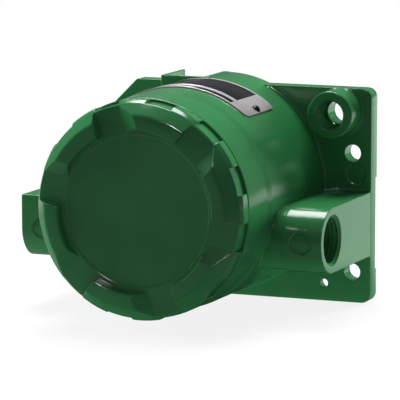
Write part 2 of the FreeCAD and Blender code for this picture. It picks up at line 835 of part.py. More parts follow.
def sector_gear():
    teeth = int(value("dim.sector_teeth"))
    shown = int(value("dim.sector_cut_teeth"))
    module = value("dim.gear_module")
    pitch_turn = 2 * math.pi / teeth
    rim = []
    for index in range(shown):
        middle = math.pi / 2 + (index - (shown - 1) / 2) * pitch_turn
        rim += tooth_points(teeth, middle)
    half_span = (shown / 2) * pitch_turn
    root = module * teeth / 2 - 1.25 * module
    edge = [(root, 1), (value("dim.sector_hub_radius"), 1)]
    left = [Vector(radius * math.cos(math.pi / 2 + half_span), 0,
                   radius * math.sin(math.pi / 2 + half_span)) for radius, side in edge]
    right = [Vector(-point.x, 0, point.z) for point in reversed(left)]
    start = value("dim.gear_start")
    thickness = value("dim.gear_thickness")
    face = gear_face(rim + left + [Vector()] + right)
    face.translate(Vector(0, -start, 0))
    web = forward(face, thickness)
    hub = disc(value("dim.sector_hub_radius"), value("dim.sector_hub_start"),
               value("dim.sector_hub_length"))
    bore = disc(value("dim.shaft_inner_radius + dim.press_clearance"),
                value("dim.sector_hub_start"), value("dim.sector_hub_length"))
    shape = web.fuse(hub).cut(bore)
    middle_radius = (root - value("dim.sector_rim") + value("dim.sector_hub_radius")) / 2
    for angle in (50, 90, 130):
        window = disc(value("dim.sector_window_radius"), start, thickness,
                      middle_radius * math.cos(math.radians(angle)),
                      middle_radius * math.sin(math.radians(angle)))
        shape = shape.cut(window)
    screw_hole = Part.makeCylinder(
        value("dim.set_screw_radius + dim.press_clearance"),
        value("dim.sector_hub_radius") + 1,
        Vector(0, -value(sector_screw_depth), 0), Vector(0, 0, -1))
    feature = document.addObject("Part::Feature", "sector")
    feature.Shape = shape.cut(screw_hole).removeSplitter()
    return feature


sector_screw_depth = ("(dim.gear_start + dim.gear_thickness + dim.sector_hub_start"
                      " + dim.sector_hub_length) / 2")
pinion_screw_depth = ("(dim.pinion_start + dim.pinion_face"
                      " + dim.pinion_hub_length / 2)")


def sector_set_screw():
    tip = "(dim.shaft_inner_radius + dim.set_screw_end_gap)"
    length = "dim.sector_hub_radius - %s" % tip
    return rod("sector_screw", "dim.set_screw_radius", length, "0", sector_screw_depth,
               "-dim.sector_hub_radius", UPRIGHT)


def pinion_gear():
    teeth = int(value("dim.pinion_teeth"))
    turn = 2 * math.pi / teeth
    points = []
    for index in range(teeth):
        points += tooth_points(teeth, -math.pi / 2 + (index + 0.5) * turn)
    face = gear_face(points)
    face.translate(Vector(0, -value("dim.pinion_start"), 0))
    length = value("dim.pinion_face + dim.pinion_hub_length")
    hub = disc(value("dim.pinion_hub_radius"), value("dim.pinion_start"), length)
    bore = disc(value("dim.pot_shaft_radius + dim.press_clearance"),
                value("dim.pinion_start"), length)
    shape = forward(face, value("dim.pinion_face")).fuse(hub).cut(bore)
    screw_hole = Part.makeCylinder(
        value("dim.pinion_screw_radius + dim.press_clearance"),
        value("dim.pinion_hub_radius") + 1,
        Vector(0, -value(pinion_screw_depth), 0), Vector(0, 0, 1))
    feature = document.addObject("Part::Feature", "pinion")
    feature.Shape = shape.cut(screw_hole).removeSplitter()
    feature.Placement = Placement(Vector(0, 0, value(gear_distance)), Rotation())
    return feature


def pinion_set_screw():
    tip = "(dim.pot_shaft_radius + dim.set_screw_end_gap)"
    return rod("pinion_screw", "dim.pinion_screw_radius", "dim.pinion_hub_radius - " + tip,
               "0", pinion_screw_depth, "%s + %s" % (gear_distance, tip), UPRIGHT)


# Potentiometer: single-turn unit whose threaded neck is clamped through the
# bracket by a lock washer and a hexagon nut.

potentiometer_sizes = {
    "pot_shaft_radius": 3,
    "pinion_screw_radius": 0.8,
    "pot_shaft_back": 0.6,
    "pot_radius": 9.4,
    "pot_length": 9,
    "pot_base_width": 13,
    "pot_base_drop": 10.5,
    "pot_base_length": 5,
    "pot_neck_radius": 4,
    "pot_neck_length": 4.7,
    "pot_nut_flats": 11,
    "pot_nut_height": 2,
    "pot_washer_radius": 6.3,
    "pot_washer_height": 0.5,
    "bracket_thickness": 2,
    "pin_width": 1,
    "pin_thickness": 0.6,
    "pin_pitch": 4,
    "pin_reach": 2,
}
sizes(potentiometer_sizes)
bracket_front = "(%s + dim.bracket_thickness)" % pillar_top
pot_end = "(%s + dim.pot_length)" % bracket_front


def potentiometer_body():
    can = rod("pot_can", "dim.pot_radius", "dim.pot_length", "0", bracket_front,
              gear_distance)
    base = block("pot_base", "dim.pot_base_width", "dim.pot_base_length",
                 "dim.pot_base_drop", "0", bracket_front,
                 gear_distance + " - dim.pot_base_drop / 2")
    neck_start = bracket_front + " - dim.pot_neck_length"
    neck = rod("pot_neck", "dim.pot_neck_radius", "dim.pot_neck_length", "0",
               neck_start, gear_distance)
    bore = rod("pot_bore", "dim.pot_shaft_radius + dim.running_clearance",
               "dim.pot_neck_length + dim.pot_length / 2", "0", neck_start,
               gear_distance)
    return cut("pot", fuse("pot_blank", [can, base, neck]), [bore])


def potentiometer_shaft():
    start = "dim.pinion_start - dim.pot_shaft_back"
    end = bracket_front + " + dim.pot_length / 2 - dim.seating_gap"
    return rod("pot_spindle", "dim.pot_shaft_radius", "%s - (%s)" % (end, start), "0",
               start, gear_distance)


def potentiometer_nut():
    start = pillar_top + " - dim.pot_washer_height - dim.pot_nut_height"
    nut = hexagon("nut_blank", "dim.pot_nut_flats", "dim.pot_nut_height", "0", start,
                  gear_distance)
    hole = rod("nut_hole", "dim.pot_neck_radius + dim.press_clearance",
               "dim.pot_nut_height", "0", start, gear_distance)
    return cut("nut", nut, [hole])


def potentiometer_washer():
    start = pillar_top + " - dim.pot_washer_height"
    washer = rod("washer_blank", "dim.pot_washer_radius", "dim.pot_washer_height", "0",
                 start, gear_distance)
    hole = rod("washer_hole", "dim.pot_neck_radius + dim.press_clearance",
               "dim.pot_washer_height", "0", start, gear_distance)
    return cut("washer", washer, [hole])


def potentiometer_pins():
    """Three bent pins from the potentiometer's base into the circuit board."""
    pins = []
    base_z = "(%s - dim.pot_base_drop)" % gear_distance
    pin_depth = "(%s + dim.pot_base_length / 2)" % bracket_front
    end_depth = "(%s + dim.board_thickness + dim.seating_gap)" % board_back
    for index in (-1, 0, 1):
        x = "%d * dim.pin_pitch" % index
        tab = block("pin_tab_%d" % index, "dim.pin_width", "dim.pin_thickness",
                    "dim.pin_reach", x, pin_depth, base_z + " - dim.pin_reach / 2")
        leg = block("pin_leg_%d" % index, "dim.pin_width",
                    "%s - %s" % (end_depth, pin_depth), "dim.pin_thickness", x,
                    pin_depth, base_z + " - dim.pin_reach + dim.pin_thickness / 2")
        pins.append(fuse("pin_%d" % index, [tab, leg]))
    return group("pins", pins)


# Bracket, standoffs and circuit board: the bracket closes off the gears and is
# held on four cast pillars by the studs of the standoffs that carry the board.

board_sizes = {
    "bracket_gap": 1.2,
    "bracket_window_radius": 9,
    "screw_hole_radius": 1.6,
    "notch_clearance": 1,
    "standoff_flats": 6,
    "board_space": 11.3,
    "standoff_stud_length": 7,
    "stud_radius": 1.45,
    "standoff_tap_depth": 6.3,
    "board_gap": 1.4,
    "board_thickness": 1.6,
    "pin_hole_radius": 0.75,
    "board_screw_head_radius": 2.7,
    "board_screw_head_height": 2,
    "board_stem_radius": 1.45,
    "board_stem_length": 7.5,
}
sizes(board_sizes)
board_back = "(%s + dim.board_space)" % bracket_front
board_front = "(%s + dim.board_thickness)" % board_back


def round_plate(name, radius, thickness, start, holes):
    """Disc with a notch that passes the ground lug, and round holes."""
    plate = rod(name + "_disc", radius, thickness, "0", start)
    notch = block(name + "_notch", "dim.lug_width + 2 * dim.notch_clearance", thickness,
                  "dim.chamber_radius", "0", start,
                  "dim.notch_clearance - %s - dim.chamber_radius / 2" % lug_inner)
    tools = [notch]
    for index, (x, z, hole_radius) in enumerate(holes):
        tools.append(rod("%s_hole_%d" % (name, index), hole_radius, thickness, x, start, z))
    return cut(name + "_plate", plate, tools)


def screw_holes():
    return [around(pillar_circle, angle) + ("dim.screw_hole_radius",)
            for angle in pillar_angles]


def gear_bracket():
    holes = screw_holes()
    holes.append(("0", gear_distance, "dim.pot_neck_radius + dim.press_clearance"))
    holes.append(("0", "0", "dim.bracket_window_radius"))
    return round_plate("bracket", "dim.chamber_radius - dim.bracket_gap",
                       "dim.bracket_thickness", pillar_top, holes)


def board_standoffs():
    standoffs = []
    for index, angle in enumerate(pillar_angles):
        x, z = around(pillar_circle, angle)
        column = hexagon("standoff_column_%d" % index, "dim.standoff_flats",
                         "dim.board_space", x, bracket_front, z)
        stud = rod("standoff_stud_%d" % index, "dim.stud_radius",
                   "dim.standoff_stud_length + dim.bracket_thickness", x,
                   pillar_top + " - dim.standoff_stud_length", z)
        tap = rod("standoff_tap_%d" % index, "dim.pillar_hole_radius",
                  "dim.standoff_tap_depth", x,
                  board_back + " - dim.standoff_tap_depth", z)
        blank = fuse("standoff_blank_%d" % index, [column, stud])
        standoffs.append(cut("standoff_%d" % index, blank, [tap]))
    return group("standoffs", standoffs)


def circuit_board():
    holes = screw_holes()
    leg_z = "%s - dim.pot_base_drop - dim.pin_reach + dim.pin_thickness / 2" % gear_distance
    for index in (-1, 0, 1):
        holes.append(("%d * dim.pin_pitch" % index, leg_z, "dim.pin_hole_radius"))
    return round_plate("board", "dim.chamber_radius - dim.board_gap",
                       "dim.board_thickness", board_back, holes)


def board_screws():
    screws = []
    for index, angle in enumerate(pillar_angles):
        x, z = around(pillar_circle, angle)
        screws.append(slotted_screw("board_screw_%d" % index, "board_screw_head", x,
                                    board_front, z, "board_stem"))
    return group("screws_of_board", screws)


# Parts on the circuit board: an isolation transformer, three can capacitors, a
# choke and the two trimmers that set zero and span.

component_sizes = {
    "transformer_width": 16,
    "transformer_height": 12,
    "transformer_length": 9,
    "transformer_z": 27,
    "bobbin_width": 10,
    "bobbin_height": 15,
    "bobbin_length": 7,
    "capacitor_radius": 4,
    "capacitor_length": 11,
    "capacitor_x": 20,
    "capacitor_z": 25,
    "choke_radius": 5,
    "choke_section": 2.2,
    "choke_x": 26,
    "choke_z": -2,
    "trimmer_side": 9.5,
    "trimmer_length": 5.5,
    "trimmer_x": 12,
    "trimmer_z": 8,
    "trimmer_screw_radius": 1.8,
    "trimmer_screw_length": 1.6,
    "trimmer_screw_seat": 1,
}
sizes(component_sizes)


def isolation_transformer():
    core = block("transformer_core", "dim.transformer_width", "dim.transformer_length",
                 "dim.transformer_height", "0", board_front, "dim.transformer_z")
    bobbin = block("transformer_bobbin", "dim.bobbin_width", "dim.bobbin_length",
                   "dim.bobbin_height", "0", board_front, "dim.transformer_z")
    return fuse("transformer", [core, bobbin])


def capacitors():
    places = [("-dim.capacitor_x", "dim.capacitor_z"), ("dim.capacitor_x", "dim.capacitor_z"),
              ("-dim.choke_x - 1", "dim.choke_z")]
    cans = [rod("can_%d" % index, "dim.capacitor_radius", "dim.capacitor_length", x,
                board_front, z) for index, (x, z) in enumerate(places)]
    return group("cans", cans)


def filter_choke():
    return ring("choke", "dim.choke_radius", "dim.choke_section", "dim.choke_x",
                board_front + " + dim.choke_section", "dim.choke_z")


def trimmer(name, side):
    """Trimmer case with a round seat for its adjusting screw."""
    x = "%s dim.trimmer_x" % side
    case = block(name + "_box", "dim.trimmer_side", "dim.trimmer_length",
                 "dim.trimmer_side", x, board_front, "dim.trimmer_z")
    seat = rod(name + "_seat", "dim.trimmer_screw_radius + dim.running_clearance",
               "dim.trimmer_screw_seat", x,
               "%s + dim.trimmer_length - dim.trimmer_screw_seat" % board_front,
               "dim.trimmer_z")
    return cut(name + "_case", case, [seat])


def trimmer_screw(name, side):
    x = "%s dim.trimmer_x" % side
    seat = "%s + dim.trimmer_length - dim.trimmer_screw_seat" % board_front
    barrel = rod(name + "_barrel", "dim.trimmer_screw_radius", "dim.trimmer_screw_length",
                 x, seat, "dim.trimmer_z")
    slot = block(name + "_slot", "3 * dim.trimmer_screw_radius",
                 "dim.trimmer_screw_length * 0.4", "dim.slot_width", x,
                 seat + " + dim.trimmer_screw_length * 0.6", "dim.trimmer_z")
    return cut(name + "_screw", barrel, [slot])


# Terminal block: a moulded barrier strip for four wires, each under a clamp plate
# and a slotted screw.

terminal_sizes = {
    "terminal_count": 4,
    "terminal_pitch": 9.5,
    "terminal_length": 10,
    "terminal_height": 16,
    "terminal_z": -14,
    "barrier_thickness": 1.6,
    "barrier_rise": 4,
    "clamp_side": 7,
    "clamp_thickness": 1,
    "terminal_head_radius": 2.6,
    "terminal_head_height": 1.8,
    "terminal_stem_radius": 1.4,
    "terminal_stem_length": 5,
}
sizes(terminal_sizes)
terminal_face = "(%s + dim.terminal_length)" % board_front


def terminal_places():
    count = int(value("dim.terminal_count"))
    return ["%s * dim.terminal_pitch" % (index - (count - 1) / 2) for index in range(count)]


def terminal_block():
    width = "dim.terminal_count * dim.terminal_pitch + dim.barrier_thickness"
    base = block("terminal_base", width, "dim.terminal_length", "dim.terminal_height", "0",
                 board_front, "dim.terminal_z")
    walls = []
    count = int(value("dim.terminal_count"))
    for index in range(count + 1):
        x = "%s * dim.terminal_pitch" % (index - count / 2)
        walls.append(block("barrier_%d" % index, "dim.barrier_thickness",
                           "dim.terminal_length + dim.barrier_rise",
                           "dim.terminal_height", x, board_front, "dim.terminal_z"))
    taps = [rod("terminal_tap_%d" % index, "dim.terminal_stem_radius + dim.press_clearance",
                "dim.terminal_stem_length + dim.seating_gap", x,
                "%s - dim.terminal_stem_length - dim.seating_gap" % terminal_face,
                "dim.terminal_z") for index, x in enumerate(terminal_places())]
    return cut("terminal_strip", fuse("terminal_blank", [base] + walls), taps)


def terminal_clamps():
    clamps = []
    for index, x in enumerate(terminal_places()):
        tab = block("clamp_tab_%d" % index, "dim.clamp_side", "dim.clamp_thickness",
                    "dim.clamp_side", x, terminal_face, "dim.terminal_z")
        hole = rod("clamp_hole_%d" % index,
                   "dim.terminal_stem_radius + dim.press_clearance",
                   "dim.clamp_thickness", x, terminal_face, "dim.terminal_z")
        clamps.append(cut("clamp_%d" % index, tab, [hole]))
    return group("clamps", clamps)


def terminal_screws():
    seat = terminal_face + " + dim.clamp_thickness"
    screws = [slotted_screw("terminal_screw_%d" % index, "terminal_head", x, seat,
                            "dim.terminal_z", "terminal_stem")
              for index, x in enumerate(terminal_places())]
    return group("screws_of_terminals", screws)


# Front cover: screwed cap with a grip ring of six lugs between wrench notches,
# twelve shallow pockets along its chamfered rim, open at the front, and a spigot
# that carries the thread. Each notch has one square side and one sloping side.

cover_sizes = {
    "cover_seat_gap": 0.4,
    "cover_rim_length": 5.6,
    "rim_chamfer_length": 2.1,
    "rim_chamfer_height": 1.1,
    "cover_nose_length": 5.4,
    "cover_ridge_radius": 41.3,
    "cover_ring_radius": 35,
    "cover_ring_draft": 0.4,
    "cover_floor_drop": 4.5,
    "cover_step_radius": 32.5,
    "cover_step": 0.4,
    "cover_thickness": 6,
    "spigot_clearance": 0.08,
    "spigot_wall": 4,
    "spigot_length": 14,
    "cover_clocking": 48.5,
    "notch_count": 6,
    "notch_width": 12.8,
    "notch_slope": 55,
    "notch_inner": 30,
    "rim_pocket_count": 12,
    "rim_pocket_angle": 15,
    "rim_pocket_depth": 1.2,
    "cover_seal_section": 1.15,
}
sizes(cover_sizes)
cover_back = "(dim.drum_depth + dim.cover_seat_gap)"
rim_front = "(%s + dim.cover_rim_length)" % cover_back
nose_back = "(%s + dim.rim_chamfer_length)" % rim_front
cover_front = "(%s + dim.cover_nose_length)" % nose_back
cover_floor = "(%s - dim.cover_floor_drop)" % cover_front
cover_inside = "(%s - dim.cover_thickness)" % cover_floor
spigot_radius = "(dim.thread_bore_radius - dim.spigot_clearance)"


def front_cover():
    body = new_body("front_cover")
    section = sketch_on(body, "YZ_Plane", "cover_section")
    spigot_end = "-(dim.drum_depth - dim.spigot_length)"
    spigot_inner = spigot_radius + " - dim.spigot_wall"
    draw_outline(section, [
        ("-" + cover_inside, "0"),
        ("-" + cover_inside, spigot_inner),
        (spigot_end, spigot_inner),
        (spigot_end, spigot_radius),
        ("-" + cover_back, spigot_radius),
        ("-" + cover_back, "dim.drum_lip_radius"),
        ("-" + rim_front, "dim.drum_lip_radius"),
        ("-" + nose_back, "dim.drum_lip_radius - dim.rim_chamfer_height"),
        ("-" + cover_front, "dim.cover_ridge_radius"),
        ("-" + cover_front, "dim.cover_ring_radius"),
        ("-" + cover_floor, "dim.cover_ring_radius - dim.cover_ring_draft"),
        ("-" + cover_floor, "dim.cover_step_radius"),
        ("-%s + dim.cover_step" % cover_floor, "dim.cover_step_radius"),
        ("-%s + dim.cover_step" % cover_floor, "0"),
    ])
    add_revolution(body, section)

    notch = sketch_on(body, "YZ_Plane", "notch", "dim.notch_inner")
    rise = "(dim.cover_floor_drop + 1)"
    half = "dim.notch_width / 2"
    slope_end = "-%s - %s * tan(dim.notch_slope * 1 deg)" % (half, rise)
    draw_outline(notch, [
        ("-" + cover_floor, "-" + half),
        ("-" + cover_floor, half),
        ("-%s - %s" % (cover_floor, rise), half),
        ("-%s - %s" % (cover_floor, rise), slope_end),
    ])
    first_notch = add_pocket(body, notch, "dim.drum_lip_radius", True)
    repeat_round(body, first_notch, section, "dim.notch_count")

    pocket = sketch_on(body, "YZ_Plane", "rim_pocket")
    draw_rectangle(pocket, "-" + cover_front, "-" + cover_back,
                   "dim.drum_lip_radius - dim.rim_pocket_depth",
                   "dim.drum_lip_radius + 1")
    first_pocket = add_groove(body, pocket, "dim.rim_pocket_angle")
    repeat_round(body, first_pocket, section, "dim.rim_pocket_count")
    body.Placement = Placement(Vector(), Rotation(Vector(0, 1, 0), -90))
    body.setExpression("Placement.Rotation.Angle", "-dim.cover_clocking")
    document.recompute()
    return body


def cover_seal():
    middle = "(dim.seal_seat_radius + %s) / 2" % spigot_radius
    depth = "dim.drum_depth - dim.seal_seat_depth / 2 + dim.cover_seat_gap"
    return ring("cover_ring", middle, "dim.cover_seal_section", depth=depth)


# Build every part in the order in which it is put together

finish(housing(), "housing")
finish(rear_bushing(), "rear_bushing")
finish(front_bushing(), "front_bushing")
finish(shaft_seal(), "shaft_o_ring")
finish(input_shaft(), "input_shaft")
finish(retaining_ring(), "shaft_retaining_ring")
finish(sector_gear(), "sector_gear")
finish(sector_set_screw(), "sector_set_screw")
finish(gear_bracket(), "gear_bracket")
finish(potentiometer_body(), "potentiometer_body")
finish(potentiometer_washer(), "potentiometer_lock_washer")
finish(potentiometer_nut(), "potentiometer_nut")
finish(potentiometer_shaft(), "potentiometer_shaft")
finish(pinion_gear(), "pinion_gear")
finish(pinion_set_screw(), "pinion_set_screw")
finish(potentiometer_pins(), "potentiometer_pins")
finish(board_standoffs(), "board_standoffs")
finish(circuit_board(), "circuit_board")
finish(board_screws(), "board_screws")
finish(isolation_transformer(), "isolation_transformer")
finish(capacitors(), "capacitors")
finish(filter_choke(), "filter_choke")
finish(trimmer("zero", "-"), "zero_trimmer")
finish(trimmer_screw("zero", "-"), "zero_adjusting_screw")
finish(trimmer("span", "+"), "span_trimmer")
finish(trimmer_screw("span", "+"), "span_adjusting_screw")
finish(terminal_block(), "terminal_block")
finish(terminal_clamps(), "terminal_clamps")
finish(terminal_screws(), "terminal_screws")
ground_terminal()
finish(nameplate(), "nameplate")
finish(group("tag_screws", [tag_screw(index, angle)
                            for index, angle in enumerate(tag_angles)]),
       "nameplate_screws")
finish(cover_seal(), "cover_o_ring")
finish(front_cover(), "front_cover")

document.recompute()
for item in document.Objects:
    if "Invalid" in item.State or "Error" in item.State:
        raise RuntimeError("%s did not build: %s" % (item.Label, item.State))
for node in nodes:
    if node.Shape.isNull() or not node.Shape.isValid():
        raise RuntimeError("%s has no valid shape" % node.Label)

os.makedirs("parts", exist_ok=True)
for node in nodes:
    node.Shape.exportStep("parts/%s.step" % node.Label)
print("%d sub-parts written" % len(nodes))
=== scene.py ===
import math
import bpy
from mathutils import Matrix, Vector


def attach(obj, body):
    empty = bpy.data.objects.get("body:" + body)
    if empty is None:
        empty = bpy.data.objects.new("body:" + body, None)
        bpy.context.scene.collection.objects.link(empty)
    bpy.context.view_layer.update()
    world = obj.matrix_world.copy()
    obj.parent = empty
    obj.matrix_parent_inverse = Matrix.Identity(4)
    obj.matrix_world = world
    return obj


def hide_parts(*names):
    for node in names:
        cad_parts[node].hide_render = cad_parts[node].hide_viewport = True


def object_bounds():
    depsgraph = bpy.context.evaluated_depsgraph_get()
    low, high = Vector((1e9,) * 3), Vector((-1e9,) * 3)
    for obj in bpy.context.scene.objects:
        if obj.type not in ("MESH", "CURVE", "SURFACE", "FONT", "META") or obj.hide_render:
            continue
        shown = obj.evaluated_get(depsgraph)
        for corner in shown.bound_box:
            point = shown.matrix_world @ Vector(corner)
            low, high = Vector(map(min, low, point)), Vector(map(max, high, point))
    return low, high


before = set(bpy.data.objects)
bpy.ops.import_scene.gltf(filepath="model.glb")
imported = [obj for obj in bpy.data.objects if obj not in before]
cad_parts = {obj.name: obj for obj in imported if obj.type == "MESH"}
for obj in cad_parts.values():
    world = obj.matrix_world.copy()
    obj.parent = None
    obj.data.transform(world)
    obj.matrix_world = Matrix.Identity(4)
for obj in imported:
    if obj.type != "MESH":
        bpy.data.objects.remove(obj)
cad_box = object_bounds()

# Camera: the photographer stands well back with a long lens, to the right of the
# cover's axis and a little above it.

camera_data = bpy.data.cameras.new("photo_camera")
camera_data.lens = 319.3
camera_data.clip_start = 0.05
camera_data.clip_end = 20
camera = bpy.data.objects.new("photo_camera", camera_data)
bpy.context.scene.collection.objects.link(camera)
camera.location = (0.5785, -1.4645, 0.2253)
turned_right = math.radians(22.04)
looking_down = math.radians(8.49)
camera.rotation_euler = (math.pi / 2 - looking_down, 0, turned_right)
bpy.context.scene.camera = camera

# Studio: a pale floor that keeps the shadow, a white background, soft lamps behind
# on the right and overhead, and three weaker ones for the edges and the left side.
# Under and behind the object the floor glows too, and so lights it from below.


class Field:
    """A socket of a material that can be used in sums, like a number."""

    def __init__(self, nodes, socket):
        self.nodes = nodes
        self.socket = socket

    def sum(self, operation, first, second=None):
        inputs = {0: first} if second is None else {0: first, 1: second}
        return self.nodes.node("Math", {"operation": operation}, inputs)

    def __add__(self, other):
        return self.sum("ADD", self, other)

    def __radd__(self, other):
        return self.sum("ADD", other, self)

    def __sub__(self, other):
        return self.sum("SUBTRACT", self, other)

    def __rsub__(self, other):
        return self.sum("SUBTRACT", other, self)

    def __mul__(self, other):
        return self.sum("MULTIPLY", self, other)

    def __rmul__(self, other):
        return self.sum("MULTIPLY", other, self)

    def __truediv__(self, other):
        return self.sum("DIVIDE", self, other)

    def __gt__(self, other):
        return self.sum("GREATER_THAN", self, other)

    def __lt__(self, other):
        return self.sum("LESS_THAN", self, other)

    def __abs__(self):
        return self.sum("ABSOLUTE", self)

    def larger(self, other):
        return self.sum("MAXIMUM", self, other)

    def root(self):
        return self.sum("SQRT", self)

    def sine(self):
        return self.sum("SINE", self)

    def rises(self, low, high):
        """0 up to one value and 1 from the other, straight between the two."""
        return self.nodes.node("MapRange", {}, {"Value": self, "From Min": low,
                                                "From Max": high})


class Nodes:
    """A node tree of a material or of the world while it is put together."""

    def __init__(self, tree):
        self.tree = tree

    def plug(self, socket, value):
        if isinstance(value, Field):
            self.tree.links.new(value.socket, socket)
        else:
            socket.default_value = value

    def node(self, kind, settings, inputs, output=0):
        """Add a node: its settings are set first, then its sockets."""
        made = self.tree.nodes.new("ShaderNode" + kind)
        for name, setting in settings.items():
            if name == "stops":
                ramp = made.color_ramp
                while len(ramp.elements) < len(setting):
                    ramp.elements.new(0.5)
                for element, (position, color) in zip(ramp.elements, setting):
                    element.position = position
                    element.color = (*color, 1)
            else:
                setattr(made, name, setting)
        for name, value in inputs.items():
            self.plug(made.inputs[name], value)
        return Field(self, made.outputs[output])

    def mix(self, factor, first, second):
        """Blend two colours, each a Field or three numbers."""
        inputs = {0: factor}
        for index, color in ((6, first), (7, second)):
            inputs[index] = color if isinstance(color, Field) else (*color, 1)
        return self.node("Mix", {"data_type": "RGBA"}, inputs, 2)

    def place(self):
        """Object coordinates, in metres in the object's own frame."""
        return self.node("TexCoord", {}, {}, "Object")

    def axes(self, vector):
        """The three numbers of a vector."""
        return [self.node("SeparateXYZ", {}, {0: vector}, name) for name in "XYZ"]

    def reach(self, first, second):
        """Length of two lengths at right angles."""
        return (first * first + second * second).root()

    def noise(self, scale, detail=2.0, stretch=(1, 1, 1)):
        """Noise on the object coordinates, longer where the stretch is under 1."""
        vector = self.node("Mapping", {}, {"Vector": self.place(), "Scale": stretch})
        return self.node("TexNoise", {}, {"Vector": vector, "Scale": scale,
                                          "Detail": detail}, "Fac")


class Finish(Nodes):
    """A material while it is made: its node tree and its Principled shader."""

    def __init__(self, name, color, roughness, **constants):
        self.material = bpy.data.materials.new(name)
        self.material.use_nodes = True
        super().__init__(self.material.node_tree)
        self.shader = self.tree.nodes["Principled BSDF"]
        self.shader.inputs["Base Color"].default_value = (*color, 1)
        self.shader.inputs["Roughness"].default_value = roughness
        for socket, constant in constants.items():
            self.shader.inputs[socket.replace("_", " ")].default_value = constant

    def feed(self, name, value):
        self.plug(self.shader.inputs[name], value)

    def bump(self, height, distance, strength=1.0, normal=None):
        """Feed the shader's normal from a height in metres."""
        inputs = {"Height": height, "Distance": distance, "Strength": strength}
        if normal:
            inputs["Normal"] = normal
        self.feed("Normal", self.node("Bump", {}, inputs))


def rgb(red, green, blue):
    """Linear colour from the 0 to 255 values that a colour picker shows."""
    steps = [value / 255 for value in (red, green, blue)]
    return tuple(step / 12.92 if step <= 0.04045 else ((step + 0.055) / 1.055) ** 2.4
                 for step in steps)


floor_finish = Finish("pale_floor", rgb(244, 244, 244), 0.9)
floor_x, floor_y = floor_finish.axes(floor_finish.place())[:2]
seen_directly = floor_finish.node("LightPath", {}, {}, "Is Camera Ray")
far_away = floor_finish.reach(floor_x, floor_y).rises(0.16, 0.7)
floor_white = seen_directly * (0.85 + 0.15 * far_away)
color_ray = floor_finish.node("LightPath", {}, {}, "Is Diffuse Ray")
gloss_ray = floor_finish.node("LightPath", {}, {}, "Is Glossy Ray")
floor_glows = (color_ray * (floor_y - 0.6 * floor_x).rises(-0.2, -0.07)).larger(
    gloss_ray * floor_y.rises(0.03, 0.1)) * 0.9
floor_finish.feed("Base Color", floor_finish.mix(seen_directly, rgb(105, 105, 105),
                                                 rgb(244, 244, 244)))
floor_glow = floor_finish.node("Emission", {}, {"Color": (1, 1, 1, 1), "Strength": 1})
floor_lit = Field(floor_finish, floor_finish.shader.outputs[0])
floor_shown = floor_finish.node("MixShader", {}, {0: floor_white.larger(floor_glows),
                                                  1: floor_lit, 2: floor_glow})
floor_finish.plug(floor_finish.tree.nodes["Material Output"].inputs["Surface"],
                  floor_shown)

bpy.ops.object.select_all(action="DESELECT")
bpy.ops.mesh.primitive_plane_add(size=12, location=(0, 0, cad_box[0][2] - 0.0003))
floor = bpy.context.active_object
floor.name = "studio_floor"
floor.data.materials.append(floor_finish.material)

world = bpy.data.worlds.new("studio")
bpy.context.scene.world = world
world.use_nodes = True
sky = Nodes(world.node_tree)
sky_white = sky.node("LightPath", {}, {}, "Is Camera Ray").larger(
    sky.node("LightPath", {}, {}, "Is Transmission Ray"))
background = world.node_tree.nodes["Background"]
background.inputs["Color"].default_value = (1, 1, 1, 1)
sky.plug(background.inputs["Strength"], sky_white.larger(0.12))


def add_lamp(name, place, size, brightness, in_color=True, in_gloss=True):
    """Square lamp aimed at the object, which it lights by that share of full light."""
    middle = Vector((0, -0.05, 0))
    aim = middle - Vector(place)
    lamp_data = bpy.data.lights.new(name, "AREA")
    lamp_data.size = size
    lamp_data.energy = brightness * (math.pi * aim.length) ** 2
    lamp = bpy.data.objects.new(name, lamp_data)
    bpy.context.scene.collection.objects.link(lamp)
    lamp.location = place
    lamp.rotation_euler = aim.to_track_quat("-Z", "Y").to_euler()
    lamp.visible_diffuse = in_color
    lamp.visible_glossy = in_gloss


add_lamp("right_lamp", (0.5, 1.45, 0.22), 0.6, 2.6, in_gloss=False)
add_lamp("overhead_lamp", (-0.25, 0.45, 1.5), 0.9, 1.25)
add_lamp("rim_lamp", (-0.6, 1.15, 0.94), 0.3, 0.12)
add_lamp("left_lamp", (-0.8, -0.08, 0.2), 0.4, 0.85, in_gloss=False)
add_lamp("ridge_lamp", (0.08, -1.2, 1.1), 0.14, 0.3, in_color=False)

bpy.context.scene.view_settings.view_transform = "Standard"

# Housing: one aluminium casting, enamelled green. The drum, the mounting plate,
# the conduit blocks and the ported boss are cast together, and the holes, the
# threads and the mounting pads are machined afterwards.

MM = 0.001
FORWARD = Vector((0, -1, 0))
RIGHT = Vector((1, 0, 0))
UP = Vector((0, 0, 1))


def at(x, depth, z):
    """Point in metres from millimetres right of, in front of and above the shaft."""
    return Vector((x, -depth, z)) * MM


def rounded(corners, segments=5):
    """Closed outline whose corners (a, b, radius) become arcs."""
    points = []
    for index, (a, b, *radius) in enumerate(corners):
        corner = Vector((a, b))
        if not radius or not radius[0]:
            points.append(corner)
            continue
        before = Vector(corners[index - 1][:2]) - corner
        after = Vector(corners[(index + 1) % len(corners)][:2]) - corner
        half = before.angle(after) / 2
        reach = radius[0] / math.tan(half)
        bisector = (before.normalized() + after.normalized()).normalized()
        centre = corner + bisector * radius[0] / math.sin(half)
        first = corner + before.normalized() * reach - centre
        last = corner + after.normalized() * reach - centre
        turn_angle = first.angle_signed(last)
        for step in range(segments + 1):
            angle = -turn_angle * step / segments
            arm = Vector((first.x * math.cos(angle) - first.y * math.sin(angle),
                          first.x * math.sin(angle) + first.y * math.cos(angle)))
            points.append(centre + arm)
    return [(point.x, point.y) for point in points]


